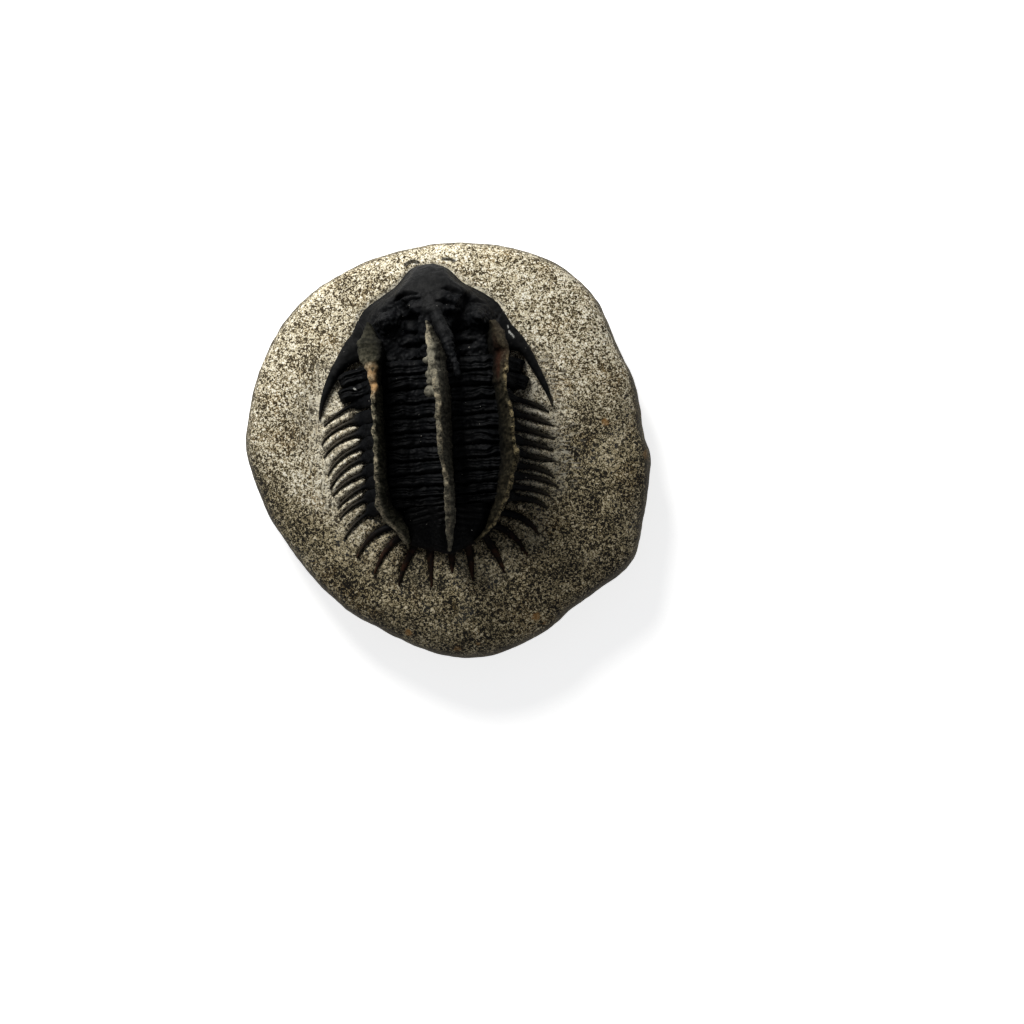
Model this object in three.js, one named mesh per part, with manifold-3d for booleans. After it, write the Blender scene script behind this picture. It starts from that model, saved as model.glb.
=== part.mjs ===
// A spiny Devonian trilobite, prepared in relief on a hand-sized slab of limestone.
// Millimetres, +Z up. The slab lies on its flat base at z = 0, with the origin in the middle of it.
// The animal has a frame of its own: l runs to its right-hand side as seen from above, and a runs
// from the back edge of the head towards the tail.
import * as THREE from 'three';
import { mergeVertices } from 'three/addons/utils/BufferGeometryUtils.js';
import Module from 'manifold-3d';

const wasm = await Module();
wasm.setup();

// Driving dimensions of the whole
const GAP = 0.3;
const SLAB_TOP = 20;
const POCKET_FLOOR = 17.2;
const ANIMAL_PLACE = [-2.3, 21.3];
const ANIMAL_TURN = 4.0;

// Outline of the slab where it is widest, seen from above
const SLAB_OUTLINE = [
  [1, 51.5], [15, 50.4], [26.6, 46.2], [36.2, 37.9], [41.5, 27], [46.4, 15.8], [48.2, 4.7], [50, -2.9],
  [48.3, -15.9], [45.4, -27.4], [36.1, -35.1], [30.2, -39.2], [24.1, -44.7], [12.2, -50.2], [0, -50.8],
  [-12.8, -46.2], [-26.2, -38.4], [-36, -28.4], [-44.5, -15.3], [-49.6, -1.5], [-49.2, 9.4], [-45.4, 23.2],
  [-38, 35], [-26.2, 43.9], [-12.5, 49.3],
];
const SLAB_SIDES = 52;
const SLAB_RADIUS = 50;

// Edge of the slab from its base to its top, as inset from the outline and height
const SLAB_EDGE = [
  [6, 0], [2.6, 2], [0.7, 5], [0, 9.5], [0.5, 13], [1.5, 15.6], [3.2, 17.2], [6.5, 18.4],
  [13, 19.5], [28, 20.4],
];
const SLAB_CROWN = 20.6;
const SLAB_CROWN_SHARE = 0.4;

// Thorax: front edge of each segment and the back edge of the last one
const SEGMENT_EDGES = [0, 3.5, 6.92, 10.35, 13.74, 17.22, 20.68, 23.85, 26.91, 29.73, 32.32, 34.67];
const FULCRUM = 13;
const BODY_BOTTOM = POCKET_FLOOR + GAP;

// Height of the back above the axis line outwards, and how it fades towards the tail
const BACK_PROFILE = [
  [0, 31], [3.2, 30.2], [5.4, 28.4], [9.3, 29.3], [13, 28.7], [15.2, 26.9], [17.4, 24], [19.6, 21.9],
  [23.5, 21.3], [30, 20.6],
];
const BACK_FADE = [[0, 1], [20, 1], [28, 0.92], [34.7, 0.76], [46, 0.5]];
const BACK_PLACES = [-9.3, -5.4, -3, 0, 3, 5.4, 9.3];
const LOBE_REACH = FULCRUM + 2;
const LOBE_BEND = 0.3;
const LOBE_SHARE = 0.97;
const ROOT_SHARE = 0.88;

// A band across the back: its two ribs, the furrow between them and its rounded edges
const RIB_PLACE = 0.55;
const BAND_SHOULDER = 0.55;
const BAND_FURROW = 0.5;

// Side spines of the segments, each as its root, its bend and its tip
const LEFT_PLEURAE = [
  [[-16.5, 1.9], [-20.5, 2.4], [-23.2, 3.4]], [[-16.5, 5.3], [-20.5, 5.7], [-23.5, 6.6]],
  [[-19, 8.4], [-24.5, 9.9], [-28.6, 13.6]], [[-17.6, 12.3], [-27.4, 13.7], [-29.5, 18.1]],
  [[-17, 15.6], [-25.9, 16.2], [-29.2, 21.2]], [[-16.7, 18.6], [-25.2, 19.6], [-28.5, 25.4]],
  [[-16.7, 21.8], [-24.6, 22.3], [-28.2, 28.7]], [[-16.7, 25], [-24.4, 26.4], [-27.7, 30.4]],
  [[-16.6, 28], [-22.9, 29.2], [-26.8, 33.5]], [[-17.4, 31.2], [-23.9, 32.7], [-26.4, 36.1]],
  [[-17.4, 34.2], [-22.5, 36.2], [-25.7, 41]],
];
const RIGHT_PLEURAE = [
  [[15.5, 2], [18.5, 2.5], [20.6, 3.6]], [[15.5, 5.5], [18.8, 6.1], [21.3, 7.2]],
  [[17.4, 10.3], [22.7, 11.8], [25.5, 14]], [[17.8, 14], [23.1, 15.6], [26.4, 17.4]],
  [[18.1, 17.3], [22.6, 18.8], [26.4, 20.6]], [[18.6, 20.6], [22.2, 21.6], [25.8, 23.3]],
  [[18.1, 23.5], [21.6, 25], [26.5, 25.9]], [[17.5, 26.4], [23.6, 27.2], [25.7, 29.9]],
  [[17.4, 28.9], [23.2, 29.4], [26.5, 32.2]], [[16, 31.3], [22.6, 32.5], [24.5, 34.3]],
  [[16, 33.9], [22.2, 34.7], [23.5, 37.4]],
];
const BLUNT_SEGMENTS = 2;
const BLUNT_END = 22.8;
const SPINE_STARTS = [16, 20];
const SPINE_ROOT_WIDTH = 1.5;
const SPINE_TIP_WIDTH = 0.45;
const SPINE_TAPER = 1.4;
const SPINE_DEPTH = 1.7;
const SPINE_SHARES = [0, 0.3, 0.65, 1];

// Tail shield: its edges left and right along the animal, its ridge line, and its spines as root, bend
// and tip
const PYGIDIUM_START = SEGMENT_EDGES[11] + GAP / 2;
const PYGIDIUM_END = 46.2;
const PYGIDIUM_LEFT = [
  [34.8, -12.8], [35.7, -14.3], [37.2, -14.3], [39.1, -13.5], [41.6, -11.8], [43.2, -9.9], [44.4, -7.4],
  [45.5, -3.6], [46.2, -2],
];
const PYGIDIUM_RIGHT = [
  [34.8, 12.4], [36.7, 13], [39, 11.7], [40.7, 10.4], [41.6, 9.6], [43.2, 7.1], [44.3, 5.3], [45.4, 2.8],
  [46.2, 0.8],
];
const PYGIDIUM_RIDGE = [[34.8, 28.4], [38, 27.2], [42, 25.4], [46.2, 23]];
const PYGIDIUM_RIM = 22.2;
const PYGIDIUM_AXIS_EDGE = [2.2, 5];
const PYGIDIUM_AXIS_RISE = 1.4;
const PYGIDIUM_RIM_DROP = 0.4;
const PYGIDIUM_RIM_STARTS = 0.6;
const PYGIDIUM_SECTIONS = [PYGIDIUM_START, 35.7, 37.2, 38.7, 40.2, 41.6, 42.9, 44.1, 45.2, PYGIDIUM_END];
const PYGIDIUM_SHARES = mirrored([0.22, 0.45, 0.68, 0.85, 1]);
const TAIL_SPINE_ROOT_WIDTH = 1.9;
const TAIL_SPINE_SHOULDER = 0.6;
const TAIL_SPINE_TOPS = [22.3, 20.7];
const TAIL_SPINES = [
  [[-12.6, 38.8], [-19.1, 38.7], [-23, 45.8]], [[-10.8, 41], [-15.8, 42.5], [-19, 49.9]],
  [[-8, 42.8], [-12.1, 48.1], [-13.4, 53.2]], [[-5, 43.2], [-5.4, 48.7], [-5.5, 54]],
  [[-0.1, 45], [-0.2, 48.5], [-0.3, 51]], [[3.9, 44], [4.5, 49.3], [4.5, 53.1]],
  [[8, 42.4], [11.2, 47.5], [12.2, 51.8]], [[10, 40], [15.3, 41.9], [18, 48.1]],
  [[12.4, 37.2], [19.2, 38.5], [21.1, 43.5]],
];

// Head shield: its edges left and right along the animal, the ridge, and the width of the glabella
const HEAD_FRONT = -23.1;
const HEAD_LEFT = [
  [-23.1, -2], [-21.5, -5.1], [-18.3, -8.5], [-16.3, -12.4], [-14.3, -15.7], [-12.6, -17.5],
  [-10.6, -18.6], [-7.6, -20], [-5, -19.6], [-1.6, -18.2], [-0.1, -17.8],
];
const HEAD_RIGHT = [
  [-23.1, 2.2], [-21.5, 4.7], [-18.2, 7.7], [-15.7, 11.5], [-12.9, 15.1], [-11.1, 16.1], [-8.7, 17.2],
  [-6.6, 18.6], [-4.8, 18.6], [-1.6, 17.6], [-0.1, 17.2],
];
const HEAD_RIDGE = [[-23.1, 23], [-21.6, 25.6], [-19, 28.2], [-15, 30.6], [-11, 32], [-5, 31.6], [0, 31]];
const GLABELLA_HALF_WIDTH = [[-23.1, 2.6], [-19, 7], [-16, 8.6], [-12, 6.8], [-7, 5.2], [0, 5.4]];
const GLABELLA_CROWN = 1.3;
const GLABELLA_SLOPE = [1.4, 1.2];
const HEAD_RIM = 21.6;
const HEAD_RIM_STARTS = 0.62;
const HEAD_RIM_DROP = 1;
const CHEEK = 26.6;
const CHEEK_DROP = 1.4;
const HEAD_SECTIONS = [
  HEAD_FRONT, -22.3, -21.1, -19.6, -18, -16.3, -14.6, -12.9, -11.2, -9.3, -7.5, -5.6, -3.6, -1.6, -GAP / 2,
];
const HEAD_SHARES = mirrored([0.14, 0.28, 0.43, 0.57, 0.7, 0.82, 0.93, 1]);
const EYES = [[-11.4, -9.3], [10.6, -9.2]];
const EYE_HEIGHT = 4.4;
const EYE_RADIUS = 2.4;

// Cheek spines, each as pairs of a point on the outer edge and one on the inner edge, with heights
const CHEEK_SPINES = [
  [
    [[-18.4, -10.8], [-14.5, -4.5], 25], [[-20.2, -7.6], [-17, -2.4], 24.4],
    [[-21.9, -5.7], [-19.2, -1.1], 23.8], [[-23.9, -2.8], [-21.6, -0.1], 23],
    [[-26.1, 0.6], [-24.1, 2.3], 22.2], [[-27.8, 4.1], [-26.3, 5.4], 21.7],
    [[-29, 7.8], [-28, 8.4], 21.3], [[-29.8, 12], [-29.4, 12.1], 20.8],
  ],
  [
    [[16.2, -10.8], [12.5, -4.5], 25], [[18.2, -7.2], [15, -2.4], 24.4],
    [[20.1, -5], [17.6, -1.3], 23.8], [[21.9, -2], [19.8, -0.4], 23],
    [[23.7, 2.2], [21.9, 3.1], 22.2], [[25.2, 6], [23.7, 6.6], 21.7],
    [[26.1, 9.2], [25.1, 9.5], 21.3], [[26.8, 12.8], [26.4, 12.9], 20.8],
  ],
];
const CHEEK_SPINE_DEPTH = 2.6;
const CHEEK_SPINE_SHOULDER = 0.9;
const CHEEK_SPINE_SHOULDER_SHARE = 0.3;

// The spine on the back edge of the head, as l, a and height from root to tip
const NECK_SPINE = [[0, -11.4, 31.5], [1.2, -8, 33.2], [2.6, -4.3, 35], [3.8, 0.2, 36.6], [4.9, 5, 37.8]];
const NECK_SPINE_WIDTH = [3.2, 0.9];
const NECK_SPINE_SIDES = 6;
const NECK_SPINE_SHARES = [0, 0.2, 0.4, 0.6, 0.8, 1];

// Rock walls left round the three rows of back spines. Every list is read along the animal, and the top
// share says how thick the crest is against the foot.
const WALL_MIDDLE = {
  from: -8.8,
  to: 45.6,
  foot: [
    [-8.8, -1.4], [-5, -0.4], [-2, 0.4], [8, 1.15], [20, 1], [31, 0.85], [37, 0.9], [42, 0.2], [45.6, -0.4],
  ],
  crest: [
    [-8.8, -2.1], [-5, -1.6], [-2, -1], [3, -0.8], [8.8, -0.1], [11, 0.1], [14.3, -0.4], [18, -0.1],
    [24, -0.1], [27, 0.2], [38, 0.25], [42, 0.1], [45.6, -0.4],
  ],
  top: [
    [-8.8, 33], [-5.7, 36], [-2, 39], [1.7, 41], [8.8, 44], [21, 44.2], [27, 43], [33.8, 40], [41, 34.6],
    [45.6, 27],
  ],
  bottom: [[-8.8, 31], [0, 30], [20, 30], [34, 26.6], [45.6, 22]],
  thick: [
    [-8.8, 0.8], [-6, 2.2], [-3, 3.5], [4, 3.2], [10, 2.9], [20, 2.6], [37, 2.4], [42, 1.7], [45.6, 0.8],
  ],
  topShare: [[-8.8, 0.4], [0, 0.5], [10, 0.5], [24, 0.42], [45.6, 0.6]],
  knobs: [[-1.8, 8.5, 40.5, 1.45], [-2.2, 1.1, 38.4, 0.9], [-1.1, 5, 39.6, 1.5]],
};
const WALL_LEFT = {
  from: -9.6,
  to: 43,
  foot: [
    [-9.6, -15.4], [-2, -15.1], [1, -15], [4, -14.6], [8, -14.3], [25, -14.4], [30, -14.5], [33, -14.3],
    [35, -13.4], [37, -12], [39.4, -10.9], [41.8, -10.5], [43, -10.3],
  ],
  crest: [
    [-9.6, -15.8], [-2, -15.2], [3.7, -14.7], [8.5, -14.5], [14.6, -14.8], [21, -15.1], [24.4, -15.1],
    [31.5, -15.4], [35.3, -15], [37.4, -14], [39.2, -12.4], [41.6, -11.1], [43, -10.4],
  ],
  top: [
    [-9.6, 29], [-6, 33], [-2, 37], [2, 40], [9.9, 42.2], [20, 41.8], [26, 40.4], [30.4, 38], [34, 34],
    [38, 28.6], [41, 25.4], [43, 24],
  ],
  bottom: [[-9.6, 24], [0, 25], [25, 25], [34, 23.6], [37, 22.4], [43, 21.4]],
  thick: [
    [-9.6, 0.9], [-6, 3.4], [-2.5, 5.8], [0, 5], [2.2, 3.4], [4, 2.8], [8, 2.3], [30, 2.2], [33, 3],
    [35, 3.8], [37, 4.8], [39.4, 4.8], [41.8, 2.6], [43, 1.2],
  ],
  topShare: [
    [-9.6, 0.6], [-5, 0.95], [0, 0.95], [2.2, 0.8], [4, 0.6], [8, 0.5], [27, 0.5], [33, 0.45], [37, 0.3],
    [39.4, 0.3], [43, 0.8],
  ],
  knobs: [],
};
const WALL_RIGHT = {
  from: -8,
  to: 43.8,
  foot: [
    [-8, 13.4], [-3, 13.2], [2.7, 13.6], [7, 13.5], [10, 13.8], [20, 13.8], [25, 13.6], [28.8, 12.9],
    [33.2, 11.8], [38.1, 9.9], [41.6, 8], [43.8, 5.7],
  ],
  crest: [
    [-8, 13.5], [-6.7, 14.5], [-2.2, 15.8], [0.4, 16.4], [5.4, 15.5], [9.8, 15.6], [14.1, 16.2], [21, 16.5],
    [25.3, 16.5], [30.8, 14.8], [35, 13.1], [36.7, 12.3], [39, 10.8], [41.2, 8.9], [43.8, 5.8],
  ],
  top: [
    [-8, 30], [-3.5, 36], [0.3, 39], [7.5, 42], [21, 42], [26.3, 40], [29.2, 38], [32.5, 35], [36, 31],
    [39, 27.6], [43.8, 24.2],
  ],
  bottom: [[-8, 26], [0, 26], [25, 26], [31, 24], [43.8, 21.4]],
  thick: [
    [-8, 2.6], [-3, 4.2], [2.7, 3.5], [7, 3.4], [10, 2.9], [20, 2.8], [25, 3.2], [28.8, 4], [33.2, 3.8],
    [38.1, 3.4], [41.6, 2.4], [43.8, 1.2],
  ],
  topShare: [[-8, 0.6], [-3, 0.45], [4, 0.4], [25, 0.42], [30, 0.34], [38, 0.4], [43.8, 0.7]],
  knobs: [],
};
const WALL_STEP = 2;
const WALL_WAIST = 0.55;
const WALL_CREST_LEAN = 0.4;
const WALL_LEAST_HEIGHT = 1;

// An uneven crest: two waves along the wall, with their height and where the slow one starts
const WALL_JAG = 0.5;
const WALL_JAG_WAVES = [2.3, 1.1];
const WALL_JAG_START = 2;

// The thorax as one smooth body ends and bends here, for cutting what lies against it
const THORAX_BENDS = [-GAP, 20, 24, 28, 31.5, PYGIDIUM_START];
const THORAX_REACH = 17;
const THORAX_GAP = GAP * 1.2;

// Shares of a half width on both sides of the middle line, from edge to edge
function mirrored(shares) {
  return [...shares.map((share) => -share).reverse(), 0, ...shares];
}

// Reads a smooth value off a list of places and values, level beyond its ends
function readProfile(pairs, place) {
  const last = pairs.length - 1;
  if (place <= pairs[0][0]) {
    return pairs[0][1];
  }
  if (place >= pairs[last][0]) {
    return pairs[last][1];
  }
  const i = pairs.findIndex((pair) => pair[0] > place) - 1;
  const [x0, y0] = pairs[i];
  const [x1, y1] = pairs[i + 1];
  const span = x1 - x0;
  const t = (place - x0) / span;
  const rise = (j) => {
    const before = pairs[Math.max(j - 1, 0)];
    const after = pairs[Math.min(j + 1, last)];
    return (after[1] - before[1]) / (after[0] - before[0]);
  };
  const start = y0 * (1 + 2 * t) * (1 - t) ** 2 + span * rise(i) * t * (1 - t) ** 2;
  const end = y1 * (3 - 2 * t) * t ** 2 - span * rise(i + 1) * (1 - t) * t ** 2;
  return start + end;
}

// A point of the animal's own frame
function at(l, a, z) {
  return new THREE.Vector3(l, -a, z);
}

// Skins a row of rings of equal count into one closed solid
function loft(rings) {
  const size = rings[0].length;
  const positions = rings.flat().flatMap((point) => [point.x, point.y, point.z]);
  const index = [];
  for (let i = 0; i + 1 < rings.length; i++) {
    for (let j = 0; j < size; j++) {
      const here = i * size + j;
      const beside = i * size + ((j + 1) % size);
      index.push(here, beside, beside + size, here, beside + size, here + size);
    }
  }
  const last = (rings.length - 1) * size;
  for (let j = 1; j + 1 < size; j++) {
    index.push(0, j + 1, j);
    index.push(last, last + j, last + j + 1);
  }
  const geometry = new THREE.BufferGeometry();
  geometry.setAttribute('position', new THREE.Float32BufferAttribute(positions, 3));
  geometry.setIndex(index);
  return solidOf(geometry);
}

// Turns a closed three.js geometry into a solid that can be joined and cut, faces out
function solidOf(geometry) {
  const bare = geometry.clone();
  bare.deleteAttribute('normal');
  bare.deleteAttribute('uv');
  const merged = mergeVertices(bare, 1e-5);
  const points = merged.attributes.position;
  const triVerts = Uint32Array.from(merged.index.array);
  const corners = [new THREE.Vector3(), new THREE.Vector3(), new THREE.Vector3()];
  let volume = 0;
  for (let i = 0; i < triVerts.length; i += 3) {
    corners.forEach((corner, j) => corner.fromBufferAttribute(points, triVerts[i + j]));
    volume += corners[0].dot(corners[1].cross(corners[2]));
  }
  if (volume < 0) {
    triVerts.reverse();
  }
  const vertProperties = Float32Array.from(points.array);
  return new wasm.Manifold(new wasm.Mesh({ numProp: 3, vertProperties, triVerts }));
}

// The largest closed body of a solid, as a three.js geometry
function geometryOf(solid) {
  const bodies = solid.decompose();
  bodies.sort((one, other) => other.volume() - one.volume());
  const { vertProperties, triVerts } = bodies[0].getMesh();
  const geometry = new THREE.BufferGeometry();
  geometry.setAttribute('position', new THREE.BufferAttribute(Float32Array.from(vertProperties), 3));
  geometry.setIndex(Array.from(triVerts));
  geometry.computeVertexNormals();
  return geometry;
}

// Height of the back at a place on the animal
function backHeight(l, a) {
  return SLAB_TOP + (readProfile(BACK_PROFILE, Math.abs(l)) - SLAB_TOP) * readProfile(BACK_FADE, a);
}

// Cross-section over a place: rows give the share of the half width to each side, and the height
function sectionRing(place, along, half, rows) {
  return rows.map(([share, z]) => {
    const out = half * share;
    return at(place.x - along.y * out, place.y + along.x * out, z);
  });
}

// Rows of a body band: two flat sides and a top with a furrow along it
function bandRows(top, bottom, shoulder, furrow) {
  return [
    [-1, bottom], [-1, top - shoulder], [-RIB_PLACE, top], [0, top - furrow], [RIB_PLACE, top],
    [1, top - shoulder], [1, bottom],
  ];
}

// The bowed middle line of a spine that lies flat
function bowOf(spine) {
  return new THREE.QuadraticBezierCurve(...spine.map((point) => new THREE.Vector2(...point)));
}

// Width of a spine at a share of its length
function spineWidth(rootWidth, share) {
  return THREE.MathUtils.lerp(rootWidth, SPINE_TIP_WIDTH, share ** SPINE_TAPER);
}

// Stations of one side of a segment, from the fulcrum out to the tip of its spine
function pleuraStations(centre, half, spine, blunt) {
  const bow = bowOf(spine);
  const [root, , tip] = spine;
  const side = Math.sign(tip[0]);
  const lobe = new THREE.Vector2(side * LOBE_REACH, THREE.MathUtils.lerp(centre, root[1], LOBE_BEND));
  const stations = [{ place: new THREE.Vector2(side * FULCRUM, centre), half }];
  stations.push({ place: lobe, half: half * LOBE_SHARE });
  for (const share of SPINE_SHARES) {
    const narrow = spineWidth(SPINE_ROOT_WIDTH, share) / 2;
    stations.push({ place: bow.getPoint(share), half: blunt || share === 0 ? half * ROOT_SHARE : narrow });
  }
  return stations;
}

// How far the two ends of a row of sections are pushed out
function endPush(i, count, grow) {
  if (i === 0) {
    return -grow;
  }
  return i === count - 1 ? grow : 0;
}

// Heights of the top and the bottom of a segment at a reach from its middle, and how far it is a spine
function bandHeights(reach, centre, blunt) {
  const onSpine = THREE.MathUtils.smoothstep(reach, ...SPINE_STARTS);
  const back = backHeight(reach, centre);
  if (blunt) {
    return { top: Math.max(back, BLUNT_END), bottom: BODY_BOTTOM, onSpine };
  }
  const bottom = THREE.MathUtils.lerp(BODY_BOTTOM, back - SPINE_DEPTH, onSpine);
  return { top: back, bottom: Math.max(BODY_BOTTOM, bottom), onSpine };
}

// One thoracic segment: a band across the back that runs out into a spine on each side
function thoracicSegment(number, grow) {
  const [front, back] = SEGMENT_EDGES.slice(number - 1, number + 1);
  const centre = (front + back) / 2;
  const half = (back - front - GAP) / 2;
  const blunt = number <= BLUNT_SEGMENTS;
  const left = pleuraStations(centre, half, LEFT_PLEURAE[number - 1], blunt).reverse();
  const right = pleuraStations(centre, half, RIGHT_PLEURAE[number - 1], blunt);
  const middle = BACK_PLACES.map((l) => ({ place: new THREE.Vector2(l, centre), half }));
  const stations = [...left, ...middle, ...right];
  const rings = stations.map(({ place, half: width }, i) => {
    const before = stations[Math.max(i - 1, 0)].place;
    const after = stations[Math.min(i + 1, stations.length - 1)].place;
    const along = after.clone().sub(before).normalize();
    const moved = place.clone().addScaledVector(along, endPush(i, stations.length, grow));
    const { top, bottom, onSpine } = bandHeights(Math.abs(place.x), centre, blunt);
    const shoulder = Math.min(BAND_SHOULDER, width / 2);
    const furrow = BAND_FURROW * (1 - onSpine);
    return sectionRing(moved, along, width + grow, bandRows(top + grow, bottom - grow, shoulder, furrow));
  });
  return loft(rings);
}

// The thorax as one smooth body
function thoraxBody(grow) {
  const outs = [-THORAX_REACH, -LOBE_REACH, -FULCRUM, ...BACK_PLACES, FULCRUM, LOBE_REACH, THORAX_REACH];
  const rings = THORAX_BENDS.map((a) => {
    const tops = outs.map((l) => at(l, a, backHeight(l, a) + grow));
    return [at(-THORAX_REACH, a, POCKET_FLOOR), ...tops, at(THORAX_REACH, a, POCKET_FLOOR)];
  });
  return loft(rings);
}

// A spine of the tail that lies in the rock
function rockSpine(spine, grow) {
  const bow = bowOf(spine);
  const rings = SPINE_SHARES.map((share) => {
    const along = bow.getTangent(share);
    const place = bow.getPoint(share).addScaledVector(along, share === 1 ? grow : 0);
    const half = spineWidth(TAIL_SPINE_ROOT_WIDTH, share) / 2;
    const top = THREE.MathUtils.lerp(...TAIL_SPINE_TOPS, Math.sqrt(share)) + grow;
    const side = top - half * TAIL_SPINE_SHOULDER;
    const low = top - SPINE_DEPTH - 2 * grow;
    return sectionRing(place, along, half + grow, [[-1, low], [-1, side], [0, top], [1, side], [1, low]]);
  });
  return loft(rings);
}

// A shield built from sections across the animal, with its heights from a function of place
function shield(places, edges, height, shares, grow) {
  const rings = places.map((a, i) => {
    const [left, right] = edges(a);
    const end = endPush(i, places.length, grow);
    const tops = shares.map((share, j) => {
      const l = share < 0 ? -share * left : share * right;
      return at(l + endPush(j, shares.length, grow), a + end, height(l, a, share) + grow);
    });
    const floor = BODY_BOTTOM - grow;
    return [at(left - grow, a + end, floor), ...tops, at(right + grow, a + end, floor)];
  });
  return loft(rings);
}

// Height of the head shield: a raised middle lobe, lower cheeks with an eye on each, and a steep rim
function headHeight(l, a, share) {
  const ridge = readProfile(HEAD_RIDGE, a);
  const lobe = readProfile(GLABELLA_HALF_WIDTH, a);
  const out = Math.abs(l);
  const cheek = Math.min(CHEEK, ridge - CHEEK_DROP);
  const onCheek = THREE.MathUtils.smoothstep(out, lobe - GLABELLA_SLOPE[0], lobe + GLABELLA_SLOPE[1]);
  const crown = ridge - GLABELLA_CROWN * (out / lobe) ** 2 * (1 - onCheek);
  const rim = Math.min(HEAD_RIM, ridge - HEAD_RIM_DROP);
  const toRim = THREE.MathUtils.smoothstep(Math.abs(share), HEAD_RIM_STARTS, 1);
  const eyes = EYES.map(([eyeL, eyeA]) => Math.exp(-((l - eyeL) ** 2 + (a - eyeA) ** 2) / EYE_RADIUS ** 2));
  const level = THREE.MathUtils.lerp(crown, cheek, onCheek);
  return THREE.MathUtils.lerp(level, rim, toRim) + EYE_HEIGHT * Math.max(...eyes);
}

// A flat blade between an outer and an inner edge, with a ridge along its middle
function bladeSpine(pairs, grow) {
  const rings = pairs.map(([outer, inner, top], i) => {
    const across = new THREE.Vector2(outer[0] - inner[0], outer[1] - inner[1]).normalize();
    const push = i === pairs.length - 1 ? grow : 0;
    const along = new THREE.Vector2(-across.y, across.x).multiplyScalar(Math.sign(outer[0]) * push);
    const place = (point, side, z) =>
      at(point[0] + across.x * side + along.x, point[1] + across.y * side + along.y, z);
    const middle = [(outer[0] + inner[0]) / 2, (outer[1] + inner[1]) / 2];
    const low = top - CHEEK_SPINE_DEPTH - grow;
    const width = Math.hypot(outer[0] - inner[0], outer[1] - inner[1]);
    const shoulder = Math.min(CHEEK_SPINE_SHOULDER, width * CHEEK_SPINE_SHOULDER_SHARE);
    return [
      place(outer, grow, low), place(outer, grow, top - shoulder + grow), place(middle, 0, top + grow),
      place(inner, -grow, top - shoulder + grow), place(inner, -grow, low),
    ];
  });
  return loft(rings);
}

// The long spine of the neck ring: a tapered round rod that rises backwards
function neckSpine(grow) {
  const route = new THREE.CatmullRomCurve3(NECK_SPINE.map(([l, a, z]) => at(l, a, z)));
  const rings = NECK_SPINE_SHARES.map((share) => {
    const centre = route.getPoint(share);
    const along = route.getTangent(share);
    const across = new THREE.Vector3(0, 0, 1).cross(along).normalize();
    const up = along.clone().cross(across);
    const radius = THREE.MathUtils.lerp(...NECK_SPINE_WIDTH, share) / 2 + grow;
    const place = centre.addScaledVector(along, share === 1 ? grow : 0);
    return Array.from({ length: NECK_SPINE_SIDES }, (_, j) => {
      const angle = (j / NECK_SPINE_SIDES) * 2 * Math.PI;
      const point = place.clone().addScaledVector(across, Math.cos(angle) * radius);
      return point.addScaledVector(up, Math.sin(angle) * radius);
    });
  });
  return loft(rings);
}

// The head shield with its cheek spines and the spine of the neck ring
function cephalon(grow) {
  const edges = (a) => [readProfile(HEAD_LEFT, a), readProfile(HEAD_RIGHT, a)];
  const plate = shield(HEAD_SECTIONS, edges, headHeight, HEAD_SHARES, grow);
  const spines = CHEEK_SPINES.map((pairs) => bladeSpine(pairs, grow));
  return [...spines, neckSpine(grow)].reduce((whole, spine) => whole.add(spine), plate);
}

// Height of the tail shield: a ridge down the middle and a steep rim
function tailHeight(l, a, share) {
  const ridge = readProfile(PYGIDIUM_RIDGE, a);
  const beside = THREE.MathUtils.smoothstep(Math.abs(l), ...PYGIDIUM_AXIS_EDGE);
  const toRim = THREE.MathUtils.smoothstep(Math.abs(share), PYGIDIUM_RIM_STARTS, 1);
  const field = ridge - beside * Math.min(PYGIDIUM_AXIS_RISE, ridge - PYGIDIUM_RIM);
  return THREE.MathUtils.lerp(field, Math.min(PYGIDIUM_RIM, ridge - PYGIDIUM_RIM_DROP), toRim);
}

// The tail shield with the spines of its rim
function pygidium(grow) {
  const edges = (a) => [readProfile(PYGIDIUM_LEFT, a), readProfile(PYGIDIUM_RIGHT, a)];
  const plate = shield(PYGIDIUM_SECTIONS, edges, tailHeight, PYGIDIUM_SHARES, grow);
  const spines = TAIL_SPINES.map((spine) => rockSpine(spine, grow));
  return spines.reduce((whole, spine) => whole.add(spine), plate);
}

// One section across a wall, from its foot on one side over the crest to its foot on the other
function wallSection(wall, a) {
  const keys = ['foot', 'crest', 'top', 'bottom', 'thick', 'topShare'];
  const [foot, crest, top, bottom, thick, topShare] = keys.map((key) => readProfile(wall[key], a));
  const [quick, slow] = WALL_JAG_WAVES;
  const jag = WALL_JAG * (Math.sin(a * quick) + Math.sin(a * slow + WALL_JAG_START));
  const peak = Math.max(top + jag, bottom + WALL_LEAST_HEIGHT);
  const middle = THREE.MathUtils.lerp(bottom, peak, WALL_WAIST);
  const waist = THREE.MathUtils.lerp(foot, crest, WALL_WAIST);
  const halfWaist = (thick / 2) * THREE.MathUtils.lerp(1, topShare, WALL_WAIST);
  const halfTop = (thick / 2) * topShare;
  return [
    at(foot - thick / 2, a, bottom), at(waist - halfWaist, a, middle),
    at(crest - halfTop, a, peak - WALL_CREST_LEAN), at(crest + halfTop, a, peak),
    at(waist + halfWaist, a, middle), at(foot + thick / 2, a, bottom),
  ];
}

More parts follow.
